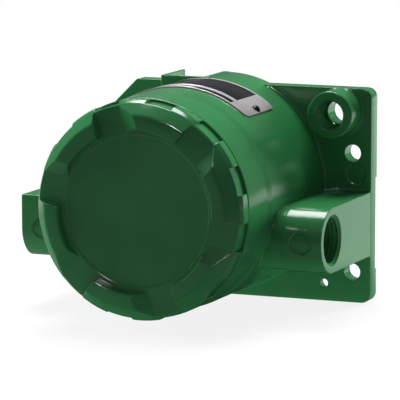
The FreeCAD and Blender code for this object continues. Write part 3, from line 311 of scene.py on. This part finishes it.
def draw(name, points):
    """Start a mesh as one vertex and extrude that from point to point."""
    bpy.ops.object.select_all(action="DESELECT")
    bpy.ops.mesh.primitive_plane_add(size=MM)
    piece = bpy.context.active_object
    piece.name = name
    bpy.ops.object.mode_set(mode="EDIT")
    bpy.ops.mesh.select_mode(type="VERT")
    bpy.ops.mesh.select_all(action="SELECT")
    bpy.ops.mesh.merge(type="CENTER")
    bpy.ops.transform.translate(value=points[0])
    for start, end in zip(points, points[1:]):
        bpy.ops.mesh.extrude_region_move(TRANSFORM_OT_translate={"value": end - start})
    bpy.ops.mesh.select_all(action="SELECT")
    return piece


def tidy_mesh():
    """Merge doubles, turn the faces outwards and leave edit mode."""
    bpy.ops.mesh.select_all(action="SELECT")
    bpy.ops.mesh.remove_doubles(threshold=MM / 1000)
    bpy.ops.mesh.normals_make_consistent(inside=False)
    bpy.ops.object.mode_set(mode="OBJECT")


def choose(piece, kind, test):
    """Go into edit mode with only those faces, edges or vertices that pass a test."""
    bpy.ops.object.select_all(action="DESELECT")
    bpy.context.view_layer.objects.active = piece
    piece.select_set(True)
    bpy.ops.object.mode_set(mode="EDIT")
    bpy.ops.mesh.select_mode(type=kind)
    bpy.ops.mesh.select_all(action="DESELECT")
    bpy.ops.object.mode_set(mode="OBJECT")
    mesh = piece.data
    items = {"VERT": mesh.vertices, "EDGE": mesh.edges, "FACE": mesh.polygons}[kind]
    for item in items:
        item.select = test(item)
    bpy.ops.object.mode_set(mode="EDIT")


def turn(name, profile, steps, centre=Vector(), along=FORWARD, side=UP, closed=True):
    """Lathe work: spin a profile of (distance along the axis, radius), in millimetres."""
    points = [centre + (along * distance + side * radius) * MM
              for distance, radius in profile]
    piece = draw(name, points)
    if closed:
        last = len(points) - 1
        bpy.ops.object.mode_set(mode="OBJECT")
        choose(piece, "VERT", lambda vertex: vertex.index in (0, last))
        bpy.ops.mesh.edge_face_add()
        bpy.ops.mesh.select_all(action="SELECT")
    bpy.ops.mesh.spin(steps=steps, angle=2 * math.pi, center=centre, axis=along)
    tidy_mesh()
    return piece


def prism(name, points, reach):
    """Fill a closed outline and extrude it by a vector."""
    piece = draw(name, points)
    bpy.ops.mesh.edge_face_add()
    bpy.ops.mesh.extrude_region_move(TRANSFORM_OT_translate={"value": reach})
    tidy_mesh()
    return piece


def block(name, low, high):
    """Box between two corners (x, depth, z) in millimetres."""
    first = at(*low)
    second = at(*high)
    bpy.ops.object.select_all(action="DESELECT")
    bpy.ops.mesh.primitive_cube_add(size=1, location=(first + second) / 2)
    piece = bpy.context.active_object
    piece.name = name
    piece.dimensions = [abs(far - near) for near, far in zip(first, second)]
    bpy.ops.object.transform_apply(location=True, rotation=True, scale=True)
    return piece


def lies_on(axis, millimetres, reach=0.02):
    """Test for a vertex, edge or face of which every corner has that coordinate."""
    def test(mesh, item):
        return all(abs(mesh.vertices[index].co[axis] - millimetres * MM) < reach * MM
                   for index in item.vertices)
    return test


def bevel(piece, width, segments, test):
    """Round the edges that pass a test, by a width in millimetres."""
    choose(piece, "EDGE", lambda edge: test(piece.data, edge))
    bpy.ops.mesh.bevel(offset=width * MM, segments=segments, affect="EDGES",
                       clamp_overlap=True)
    bpy.ops.object.mode_set(mode="OBJECT")


def combine(piece, operation, other):
    """Join, cut or intersect with another piece, which is used up."""
    bpy.ops.object.select_all(action="DESELECT")
    bpy.context.view_layer.objects.active = piece
    piece.select_set(True)
    modifier = piece.modifiers.new(operation.lower(), "BOOLEAN")
    modifier.operation = operation
    modifier.solver = "EXACT"
    modifier.object = other
    bpy.ops.object.modifier_apply(modifier=modifier.name)
    bpy.data.objects.remove(other)
    return piece


def thread(start, end, crest, root, pitch):
    """Profile points of the turns of a screw thread between two distances."""
    step = math.copysign(pitch, end - start)
    points = []
    for index in range(int(abs(end - start) / pitch)):
        valley = start + index * step
        points += [(valley, crest), (valley + 0.38 * step, root),
                   (valley + 0.52 * step, root), (valley + 0.9 * step, crest)]
    return points


def dress(piece, body, slot, finish, *nodes):
    """Give a finished piece its shading, material and body, and hide the model's nodes that
    it stands for.
    """
    bpy.ops.object.select_all(action="DESELECT")
    bpy.context.view_layer.objects.active = piece
    piece.select_set(True)
    bpy.ops.object.shade_smooth_by_angle(angle=math.radians(30))
    piece.data.materials.clear()
    piece.data.materials.append(finish.material)
    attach(piece, body)
    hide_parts(*nodes)


def enamel(name, is_bare):
    """Gloss green enamel, with painted shade darkening the relief behind, a painted
    highlight along the edges, and bare metal where machined.
    """
    paint = Finish(name, rgb(50, 130, 75), 0.24)
    x, y, z = paint.axes(paint.place())
    bare = is_bare(paint, x, y, z)
    soft_normal = paint.node("Bevel", {"samples": 8}, {"Radius": 0.8 * MM})
    flat_normal = paint.node("NewGeometry", {}, {}, "Normal")
    bend = 1 - paint.node("VectorMath", {"operation": "DOT_PRODUCT"},
                          {0: soft_normal, 1: flat_normal}, "Value")
    # Painted shade: the relief behind the plate gets a darker green than the rest, standing
    # in for shade there.
    relief_painted_shade = (y > -1.6 * MM) * (abs(x) < 69.4 * MM)
    tone_and_relief_shade = paint.mix(relief_painted_shade,
                     paint.node("ValToRGB", {"stops": [(0.3, rgb(46, 122, 70)),
                                                       (0.7, rgb(54, 136, 79))]},
                                {"Fac": paint.noise(28, 3)}),
                     paint.mix(paint.noise(60, 3), rgb(26, 74, 43), rgb(36, 92, 55)))
    # Painted highlight: a lighter green laid along the edges, where the bevel normal bends
    # away from the surface.
    with_painted_edge_highlight = paint.mix(bend.rises(0.03, 0.25) * 0.4, tone_and_relief_shade, rgb(120, 188, 137))
    metal = paint.mix(paint.noise(900, 2), rgb(120, 122, 120), rgb(168, 169, 166))
    paint.feed("Base Color", paint.mix(bare, with_painted_edge_highlight, metal))
    paint.feed("Metallic", bare * 0.85)
    paint.feed("Roughness", 0.13 + 0.07 * paint.noise(60, 3) + 0.22 * bare)
    peel = paint.noise(420, 2) + paint.noise(1400, 3) * 0.35
    cutter_marks = paint.noise(2600, 1) * bare
    paint.bump(peel + cutter_marks, 0.04 * MM, 0.5, soft_normal)
    return paint


def machined_on_housing(paint, x, y, z):
    """The mounting pads and the thread for the cover."""
    from_shaft = paint.reach(x, z)
    cover_thread = (from_shaft > 40.9 * MM) * (from_shaft < 43.5 * MM) * (y < -79 * MM)
    return cover_thread.larger(y > -0.04 * MM)


PLATE_DEPTH = 8
CONDUIT_DEPTH = 57
CONDUIT_HEIGHT = -15.5
BOSS_X = 55.1
BOSS_HEIGHT = 33.7
BOSS_RADIUS = 10.3
HUB_RADIUS = 14
BOLT_RADIUS = 3.75

drum_profile = rounded(
    [(0, 9.02), (0, 48.2, 0.8), (26.5, 47.6), (70.6, 47.6, 4), (75.6, 47.1, 4),
     (97, 47.1, 0.4), (97, 43.6, 0.2), (94, 43.4), (94, 41.1, 0.3)]
    + thread(93, 79.5, 41.1, 42.1, 2)
    + [(79, 41.1), (79, 40, 0.3), (8, 40, 2), (8, HUB_RADIUS, 1.5),
       (16, HUB_RADIUS, 0.5),
       (16, 7.02), (1.5, 7.02), (1.5, 9.02)])
housing = turn("housing_casting", drum_profile, 240)

plate_outline = rounded([
    (-69.7, -50.9, 4), (69.7, -50.9, 4), (69.7, 44.1, 4), (0, 44.1),
    (-41.7, 44.1, 1.5), (-69.7, 16.1, 1.5)])
plate = prism("plate", [at(x, 0, z) for x, z in plate_outline],
              FORWARD * PLATE_DEPTH * MM)


def is_wing_edge(mesh, edge):
    ends = [mesh.vertices[index].co for index in edge.vertices]
    return all(abs(end.y + PLATE_DEPTH * MM) < 0.01 * MM and end.x < 0.01 * MM
               and end.z > 15 * MM for end in ends)


bevel(plate, 3.5, 6, is_wing_edge)
plate_front = lies_on(1, -PLATE_DEPTH)
plate_back = lies_on(1, 0)
bevel(plate, 0.6, 3, lambda mesh, edge: plate_back(mesh, edge) or (
    plate_front(mesh, edge) and not all(
        mesh.vertices[index].co.x < 1 * MM and mesh.vertices[index].co.z > 10 * MM
        for index in edge.vertices)))
hub = turn("hub_disc", [(-1, 0), (-1, HUB_RADIUS), (3, HUB_RADIUS), (3, 0)], 97,
           closed=False)
relief = block("relief", (-75, -2, -36.4), (75, 1.5, 4.6))
combine(relief, "DIFFERENCE", hub)


def fillet_ring(name, x, z, radius, fillet, ceiling):
    """Concave fillet where a round boss meets the plate, cut off at a height."""
    arc = [(PLATE_DEPTH + fillet - fillet * math.sin(math.radians(angle)),
            radius + fillet - fillet * math.cos(math.radians(angle)))
           for angle in range(0, 91, 15)]
    profile = ([(6, radius - 1), (PLATE_DEPTH + fillet, radius - 1)] + arc
               + [(6, radius + fillet)])
    ring = turn(name, profile, 160, at(x, 0, z))
    keep = block("keep", (-100, 0, -100), (100, 30, ceiling))
    return combine(ring, "INTERSECT", keep)


def conduit_block(name, side, square_brow):
    """Conduit block: a neck, then a collar that is half a millimetre larger."""
    made = None
    for radius, start, end in ((13.7, 30, 69.6), (14.2, 51.8, 69.68)):
        top = CONDUIT_HEIGHT + radius
        bottom = CONDUIT_HEIGHT - radius
        front = CONDUIT_DEPTH + radius
        brow = (front, top, 0.8 if square_brow else radius - 0.05)
        outline = rounded([(4, bottom - 3), (7.95, bottom - 3), (7.95, bottom, 1.6),
                           (front, bottom, radius - 0.05), brow, (7.95, top, 1.6),
                           (7.95, top + 3), (4, top + 3)], 20)
        points = [at(side * start, depth, z) for depth, z in outline]
        length = prism(name, points, RIGHT * side * (end - start) * MM)
        made = combine(made, "UNION", length) if made else length
    return made


boss_profile = rounded([(2, 0), (2, BOSS_RADIUS), (21.6, BOSS_RADIUS, 0.6), (21.6, 0)])
boss = turn("boss", boss_profile, 96, at(BOSS_X, 0, BOSS_HEIGHT), closed=False)
recess_walls = block("recess_walls", (-23.2, 0, 20), (0, 24.5, 48.35))
bevel(recess_walls, 0.5, 3, lambda mesh, edge: not lies_on(2, 20)(mesh, edge)
      and not lies_on(0, 0)(mesh, edge))
ground_lug = block("ground_lug", (-6, 60, -41.5), (6, 68, -31.5))
bevel(ground_lug, 0.6, 2, lies_on(1, -68))
pillars = [turn("pillar", [(4, 0), (4, 4), (29.7, 4), (29.7, 0)], 48,
                at(33 * math.cos(math.radians(angle)), 0,
                   33 * math.sin(math.radians(angle))), closed=False)
           for angle in (20, 160, 235, 305)]
for part in (plate, conduit_block("right_block", 1, False),
             conduit_block("left_block", -1, True), boss,
             fillet_ring("boss_fillet", BOSS_X, BOSS_HEIGHT, BOSS_RADIUS, 1.0, 44.0),
             fillet_ring("drum_fillet", 0, 0, 47.9, 1.5, 43.4),
             recess_walls, ground_lug, *pillars):
    combine(housing, "UNION", part)

pocket = block("recess_pocket", (-21.6, -5, 43.2), (-2.8, 22.9, 60))
bevel(pocket, 1.0, 4, lambda mesh, edge: lies_on(1, -22.9)(mesh, edge)
      or lies_on(2, 43.2)(mesh, edge))
entry_half = ([(75, 16.5), (68.9, 10.4), (68.6, 9.8)]
              + thread(68.4, 53.5, 9.75, 10.75, 1.814) + [(53.0, 10.4)])
entry_profile = ([(-75, 0)] + [(-x, radius) for x, radius in entry_half]
                 + entry_half[::-1] + [(75, 0)])
entries = turn("entries", entry_profile, 128, at(0, CONDUIT_DEPTH, CONDUIT_HEIGHT), RIGHT,
               closed=False)
port_profile = ([(30, 0), (30, 15.4), (20.6, 6.0)] + thread(20.4, 10.4, 6.0, 6.75, 1.411)
                + [(9.6, 6.0), (9.2, 5.2), (-5, 5.2), (-5, 0)])
port = turn("port", port_profile, 96, at(BOSS_X, 0, BOSS_HEIGHT), closed=False)
bolt_profile = [(-5, 0), (-5, BOLT_RADIUS), (7.8, BOLT_RADIUS), (12, BOLT_RADIUS + 4.25),
                (12, 0)]
bolt_holes = [turn("bolt_hole", bolt_profile, 48, at(x, 0, z), closed=False)
              for x in (-61.2, 61.2) for z in (15.6, -37.3)]
dowel_hole = turn("dowel_hole", [(-5, 0), (-5, 3.2), (4.4, 3.2), (4.4, 1.9), (7.8, 1.9),
                                 (12, 6.1), (12, 0)], 32, at(48, 0, -43.1), closed=False)
pad_mark = turn("pad_mark", [(7.6, 0), (7.6, 4.5), (12, 4.7), (12, 0)], 64,
                at(62.8, 0, 6.4), closed=False)
spots = []
for side in (-1, 1):
    spot = turn("spot", [(60, 0), (60, 4.9), (75, 4.9), (75, 0)], 64,
                at(side * 60, 0, CONDUIT_HEIGHT), closed=False)
    spot_floor = turn("spot_floor", [(-75, 0), (-75, 13.6), (75, 13.6), (75, 0)], 160,
                      at(0, CONDUIT_DEPTH, CONDUIT_HEIGHT), RIGHT, closed=False)
    spots.append(combine(spot, "DIFFERENCE", spot_floor))
for part in (relief, pocket, entries, port, *bolt_holes, dowel_hole, pad_mark, *spots):
    combine(housing, "DIFFERENCE", part)
dress(housing, "housing", "housing_paint", enamel("housing_enamel", machined_on_housing),
      "housing")

# Shaft and bushings: a turned stainless shaft runs in two sintered bronze
# bushings, with a rubber ring between them and a spring-steel ring behind.


def finish_nodes(finish, *names):
    """Give parts that keep their own shape a finished material."""
    for name in names:
        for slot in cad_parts[name].material_slots:
            slot.material = finish.material


def turned_metal(name, dark, pale, roughness, x=0.0, z=0.0, metallic=1.0):
    """Metal turned or milled round an axis along the shaft: fine rings and a tint."""
    metal = Finish(name, pale, roughness, Metallic=metallic)
    place_x, place_y, place_z = metal.axes(metal.place())
    radius = metal.reach(place_x - x * MM, place_z - z * MM)
    rings = metal.node("TexNoise", {"noise_dimensions": "1D"},
                       {"W": radius * 9000 + place_y * 9000, "Scale": 1.0, "Detail": 2.0},
                       "Fac")
    tint = metal.noise(160, 3)
    metal.feed("Base Color", metal.mix(tint.rises(0.3, 0.7), dark, pale))
    metal.feed("Roughness", roughness - 0.05 + 0.1 * rings)
    metal.bump(rings, 0.01 * MM, 0.4)
    return metal


finish_nodes(turned_metal("turned_stainless", rgb(168, 170, 173), rgb(205, 206, 208), 0.27),
             "input_shaft")
POTENTIOMETER_HEIGHT = 28.9
finish_nodes(turned_metal("potentiometer_shaft_steel", rgb(160, 162, 166),
                          rgb(198, 200, 203), 0.3, 0, POTENTIOMETER_HEIGHT),
             "potentiometer_shaft")
bronze = turned_metal("sintered_bronze", rgb(134, 96, 54), rgb(178, 134, 80), 0.42)
finish_nodes(bronze, "rear_bushing", "front_bushing")
finish_nodes(turned_metal("phosphated_spring_steel", rgb(58, 57, 56), rgb(88, 86, 84), 0.45),
             "shaft_retaining_ring")

rubber = Finish("seal_rubber_black", rgb(30, 30, 32), 0.62)
dusty = rubber.noise(240, 4)
rubber.feed("Base Color", rubber.mix(dusty.rises(0.35, 0.75), rgb(24, 24, 26),
                                     rgb(46, 46, 48)))
rubber.feed("Roughness", 0.5 + 0.25 * dusty)
rubber.bump(rubber.noise(1800, 3), 0.03 * MM, 0.5)
finish_nodes(rubber, "shaft_o_ring", "cover_o_ring")

# Gears: a hobbed brass sector on the shaft drives a brass pinion on the
# potentiometer, and each is held by a blackened set screw.

finish_nodes(turned_metal("sector_brass", rgb(164, 128, 62), rgb(206, 172, 96), 0.32),
             "sector_gear")
finish_nodes(turned_metal("pinion_brass", rgb(164, 128, 62), rgb(206, 172, 96), 0.32,
                          0, POTENTIOMETER_HEIGHT), "pinion_gear")
finish_nodes(turned_metal("black_oxide", rgb(26, 26, 29), rgb(52, 52, 56), 0.4,
                          metallic=0.8), "sector_set_screw", "pinion_set_screw")

# Bracket and potentiometer: a punched aluminium sheet carries the potentiometer,
# which has a moulded case, a plated bushing with nut and washer, and tinned pins.


def brushed_metal(name, dark, pale, roughness, stretch, metallic=1.0):
    """Rolled or plated metal with fine lines one way, and a tint that wanders."""
    metal = Finish(name, pale, roughness, Metallic=metallic)
    lines = metal.noise(500, 4, stretch)
    metal.feed("Base Color", metal.mix(metal.noise(110, 3).rises(0.3, 0.7), dark, pale))
    metal.feed("Roughness", roughness - 0.06 + 0.12 * lines)
    metal.bump(lines, 0.015 * MM, 0.4)
    return metal


finish_nodes(brushed_metal("bracket_sheet", rgb(170, 172, 174), rgb(200, 202, 203), 0.36,
                           (0.05, 1, 1)), "gear_bracket")
zinc_plate = brushed_metal("zinc_plate", rgb(168, 170, 160), rgb(206, 208, 204), 0.3,
                           (1, 0.2, 1))
finish_nodes(zinc_plate, "potentiometer_lock_washer", "potentiometer_nut",
             "board_standoffs", "board_screws")
finish_nodes(brushed_metal("tinned_wire", rgb(176, 178, 180), rgb(214, 215, 215), 0.28,
                           (1, 0.1, 1)), "potentiometer_pins")

case = Finish("potentiometer_moulding", rgb(32, 35, 40), 0.46)
case_x, case_y, case_z = case.axes(case.place())
from_axis = case.reach(case_x, case_z - POTENTIOMETER_HEIGHT * MM)
is_bushing = (from_axis < 5.2 * MM) * (case_y > -31.7 * MM)
grain = case.noise(700, 3)
moulding = case.mix(grain, rgb(26, 29, 33), rgb(42, 46, 52))
case.feed("Base Color", case.mix(is_bushing, moulding, rgb(198, 196, 186)))
case.feed("Metallic", is_bushing)
case.feed("Roughness", 0.38 + 0.14 * grain - 0.12 * is_bushing)
case.bump(grain, 0.03 * MM, 0.4)
finish_nodes(case, "potentiometer_body")

# Circuit board: glass-epoxy laminate under green solder mask, with copper tracks
# that show through it and a cut edge where the yellow laminate is bare.

board = Finish("board_solder_mask", rgb(24, 84, 52), 0.34)
board_y = board.axes(board.place())[1]
weave = board.node("TexWave", {"bands_direction": "X"},
                   {"Vector": board.place(), "Scale": 600.0}, "Fac") * board.node(
    "TexWave", {"bands_direction": "Z"}, {"Vector": board.place(), "Scale": 600.0}, "Fac")
along_x = board.node("TexWave", {"bands_direction": "Z"},
                     {"Vector": board.place(), "Scale": 95.0, "Distortion": 0.0}, "Fac")
along_z = board.node("TexWave", {"bands_direction": "X"},
                     {"Vector": board.place(), "Scale": 95.0, "Distortion": 0.0}, "Fac")
which_way = board.noise(70, 0) > 0.5
tracks = (along_x > 0.72) * which_way + (along_z > 0.72) * (1 - which_way)
is_face = (board_y < -44.55 * MM).larger(board_y > -43.05 * MM)
mask_color = board.mix(tracks, rgb(20, 74, 46), rgb(44, 116, 72))
board.feed("Base Color", board.mix(is_face, rgb(176, 160, 104), mask_color))
board.feed("Roughness", 0.3 + 0.3 * (1 - is_face) + 0.05 * weave)
board.bump(weave * 0.3 + tracks, 0.02 * MM, 0.5)
finish_nodes(board, "circuit_board")

# Board parts: a taped transformer with a laminated core, sleeved aluminium cans
# and a toroid wound with enamelled copper wire, all soldered to the board.

core = Finish("laminated_core", rgb(70, 70, 72), 0.45, Metallic=0.0)
core_z = core.axes(core.place())[2]
sheets = core.node("TexWave", {"bands_direction": "Z"},
                   {"Vector": core.place(), "Scale": 320.0}, "Fac")
is_tape = abs(core_z - 27 * MM) < 4.2 * MM
steel_sheets = core.mix(sheets, rgb(48, 48, 50), rgb(96, 96, 98))
core.feed("Base Color", core.mix(is_tape, steel_sheets, rgb(196, 164, 60)))
core.feed("Metallic", (1 - is_tape) * 0.7)
core.feed("Roughness", 0.4 + 0.1 * core.noise(300, 3))
core.bump(sheets * (1 - is_tape) + core.noise(500, 3) * is_tape, 0.03 * MM, 0.6)
finish_nodes(core, "isolation_transformer")

sleeve = Finish("sleeved_can", rgb(30, 44, 84), 0.3)
sleeve_y = sleeve.axes(sleeve.place())[1]
can_top = sleeve_y < -55.3 * MM
wrinkles = sleeve.noise(260, 3)
sleeve.feed("Base Color", sleeve.mix(can_top, sleeve.mix(wrinkles, rgb(24, 36, 70),
                                                         rgb(40, 58, 104)),
                                     rgb(186, 188, 190)))
sleeve.feed("Metallic", can_top)
sleeve.feed("Roughness", 0.26 + 0.12 * wrinkles)
sleeve.bump(wrinkles, 0.04 * MM, 0.4)
finish_nodes(sleeve, "capacitors")

winding = Finish("copper_winding", rgb(168, 84, 44), 0.3, Metallic=0.85)
wind_x, wind_z = winding.axes(winding.place())[::2]
wind_angle = winding.node("Math", {"operation": "ARCTAN2"},
                          {0: wind_z + 2 * MM, 1: wind_x - 26.01 * MM})
wires = (wind_angle * 38).sine()
winding.feed("Base Color", winding.mix(wires.rises(-1, 0.4), rgb(84, 36, 18),
                                       rgb(190, 100, 54)))
winding.feed("Roughness", 0.26 + 0.1 * winding.noise(300, 2))
winding.bump(wires, 0.12 * MM, 0.6)
finish_nodes(winding, "filter_choke")

# Trimmers: two moulded single-turn trimmers for zero and span, each with a
# slotted brass adjusting screw in its face.


def moulded(name, dark, pale, roughness):
    """Moulded plastic: an even tone with a fine grain."""
    plastic = Finish(name, pale, roughness)
    grain = plastic.noise(600, 4)
    plastic.feed("Base Color", plastic.mix(grain, dark, pale))
    plastic.feed("Roughness", roughness - 0.06 + 0.12 * grain)
    plastic.bump(grain, 0.025 * MM, 0.4)
    return plastic


finish_nodes(moulded("trimmer_moulding", rgb(28, 62, 128), rgb(42, 82, 156), 0.42),
             "zero_trimmer", "span_trimmer")
finish_nodes(brushed_metal("adjuster_brass", rgb(170, 134, 66), rgb(210, 178, 104), 0.3,
                           (0.1, 1, 1)), "zero_adjusting_screw", "span_adjusting_screw")

# Terminals: a moulded block with plated clamps and screws for the field wires,
# and a separate clamp and screw on a lug of the casting for the ground wire.

finish_nodes(moulded("terminal_moulding", rgb(22, 22, 24), rgb(38, 38, 41), 0.5),
             "terminal_block")
finish_nodes(brushed_metal("nickel_plate", rgb(176, 172, 160), rgb(212, 208, 198), 0.26,
                           (0.2, 1, 1)),
             "terminal_clamps", "terminal_screws", "ground_clamp", "ground_screw")

# Nameplate: thin anodised aluminium, rolled to the drum. Two fields are printed
# black and left blank, and the rest shows satin silver.

PLATE_RADIUS = 47.64
half_width = PLATE_RADIUS * math.radians(41)
nameplate_outline = rounded([(-half_width, -27.1, 3.4), (half_width, -27.1, 3.4),
                             (half_width, -60.2, 3.4), (-half_width, -60.2, 3.4)], 8)
nameplate = prism("nameplate_strip",
                  [Vector((x, y, 0)) * MM for x, y in nameplate_outline], UP * 0.62 * MM)
bevel(nameplate, 0.14, 2, lies_on(2, 0.62))
choose(nameplate, "FACE", lambda face: True)
for step in range(-27, 28):
    bpy.ops.mesh.select_all(action="SELECT")
    bpy.ops.mesh.bisect(plane_co=RIGHT * PLATE_RADIUS * math.radians(1.5 * step) * MM,
                        plane_no=RIGHT)
bpy.ops.object.mode_set(mode="OBJECT")
for vertex in nameplate.data.vertices:
    angle = vertex.co.x / (PLATE_RADIUS * MM)
    radius = PLATE_RADIUS * MM + vertex.co.z
    vertex.co = (radius * math.sin(angle), vertex.co.y, radius * math.cos(angle))

print_finish = Finish("anodised_nameplate", rgb(206, 202, 205), 0.34,
                      Specular_IOR_Level=0.12)
plate_x, plate_y, plate_z = print_finish.axes(print_finish.place())
along_arc = print_finish.node("Math", {"operation": "ARCTAN2"},
                              {0: plate_x, 1: plate_z}) * PLATE_RADIUS
depth = plate_y * -1000


def printed_field(left, right, near, far):
    """Box printed on the plate, by its place along the arc and its depth, in mm."""
    return ((along_arc > left) * (along_arc < right) * (depth > near) * (depth < far))


fields = printed_field(-24.4, 24.4, 28.8, 51.3).larger(
    printed_field(-24.4, 24.4, 54.8, 59.0))
satin = print_finish.noise(420, 4, (0.06, 1, 0.06))
silver = print_finish.mix(satin, rgb(184, 181, 184), rgb(212, 209, 211))
ink = print_finish.mix(print_finish.noise(300, 3), rgb(24, 26, 30), rgb(36, 39, 44))
print_finish.feed("Base Color", print_finish.mix(fields, silver, ink))
print_finish.feed("Metallic", (1 - fields) * 0.55)
print_finish.feed("Roughness", 0.28 + 0.14 * satin - 0.16 * fields)
print_finish.bump(satin * 0.3 + fields, 0.02 * MM, 0.5)
dress(nameplate, "housing", "nameplate_metal", print_finish, "nameplate")

# Drive screws: two hardened steel screws with domed heads, hammered through the
# nameplate into blind holes, and blackened.

drive_screw_steel = turned_metal("blackened_drive_screw", rgb(24, 24, 27),
                                 rgb(56, 56, 60), 0.3, metallic=0.9)
head_profile = rounded([(44.5, 0), (44.5, 0.9), (48.22, 0.9), (48.22, 1.95, 0.1),
                        (48.75, 1.95, 0.3), (49.45, 0.9, 1.2), (49.5, 0)], 6)
for number, angle in enumerate((51.8, 128.2), 1):
    turned = math.radians(angle)
    outward = Vector((math.cos(turned), 0, math.sin(turned)))
    screw = turn("drive_screw_%d" % number, head_profile, 48, at(0, 44.6, 0), outward,
                 FORWARD, closed=False)
    dress(screw, "housing", "drive_screw_steel", drive_screw_steel, "nameplate_screws")

# Front cover: a cast cap that screws into the drum against a rubber ring. Six lugs
# between notches give a bar something to turn, and pockets round the chamfered rim,
# open at the front, a grip.

LUG_FRONT = 110.5
NOTCH_FLOOR = 106.0
NOTCH_HALF_WIDTH = 6.4
RING_RADIUS = 35.0

cover_profile = [(100, 0)] + rounded(
    [(100, 36.9, 2.5), (83, 37.1, 0.3), (83, 41.0, 0.5)]
    + thread(84.2, 95.5, 41.0, 40.0, 2)
    + [(97.4, 41.0), (97.4, 47.1, 0.3), (103.0, 47.1, 0.4), (105.1, 46.0, 0.4),
       (LUG_FRONT, 41.3, 2.2), (LUG_FRONT, RING_RADIUS, 0.9),
       (NOTCH_FLOOR, RING_RADIUS - 0.4, 0.5), (NOTCH_FLOOR, 32.5, 0.15),
       (105.6, 32.4, 0.15), (105.6, 0)])
cover = turn("front_cover_cap", cover_profile, 144, closed=False)


def ring_point(tangent, depth, radius, angle):
    """Point on the cover, from its offset along the tangent at an angle."""
    turned = math.radians(angle)
    outward = Vector((math.cos(turned), 0, math.sin(turned)))
    sideways = Vector((-math.sin(turned), 0, math.cos(turned)))
    return (outward * radius + sideways * tangent) * MM + at(0, depth, 0)


for index in range(6):
    angle = 48.5 + 60 * index
    past_front = LUG_FRONT + 1
    slope = (past_front - NOTCH_FLOOR) * math.tan(math.radians(55))
    outline = rounded([(-NOTCH_HALF_WIDTH, NOTCH_FLOOR, 0.6),
                       (NOTCH_HALF_WIDTH, NOTCH_FLOOR, 0.6),
                       (NOTCH_HALF_WIDTH, past_front),
                       (-NOTCH_HALF_WIDTH - slope, past_front)])
    inside = RING_RADIUS - 1.5
    points = [ring_point(tangent, depth, inside, angle) for tangent, depth in outline]
    reach = ring_point(0, 0, 55, angle) - ring_point(0, 0, inside, angle)
    combine(cover, "DIFFERENCE", prism("notch", points, reach))
for index in range(12):
    middle_angle = 18.5 + 30 * index
    outline = []
    for radius, sign in ((45.9, 1), (52, -1)):
        for step in range(-5, 6):
            outline.append(ring_point(0, 90, radius, middle_angle + sign * 1.5 * step))
    combine(cover, "DIFFERENCE", prism("rim_pocket", outline, FORWARD * 18 * MM))


def machined_on_cover(paint, x, y, z):
    """The threaded spigot and the face that meets the housing."""
    return (paint.reach(x, z) < 41.1 * MM) * (y > -97.35 * MM)


dress(cover, "front_cover", "cover_paint", enamel("cover_enamel", machined_on_cover),
      "front_cover")
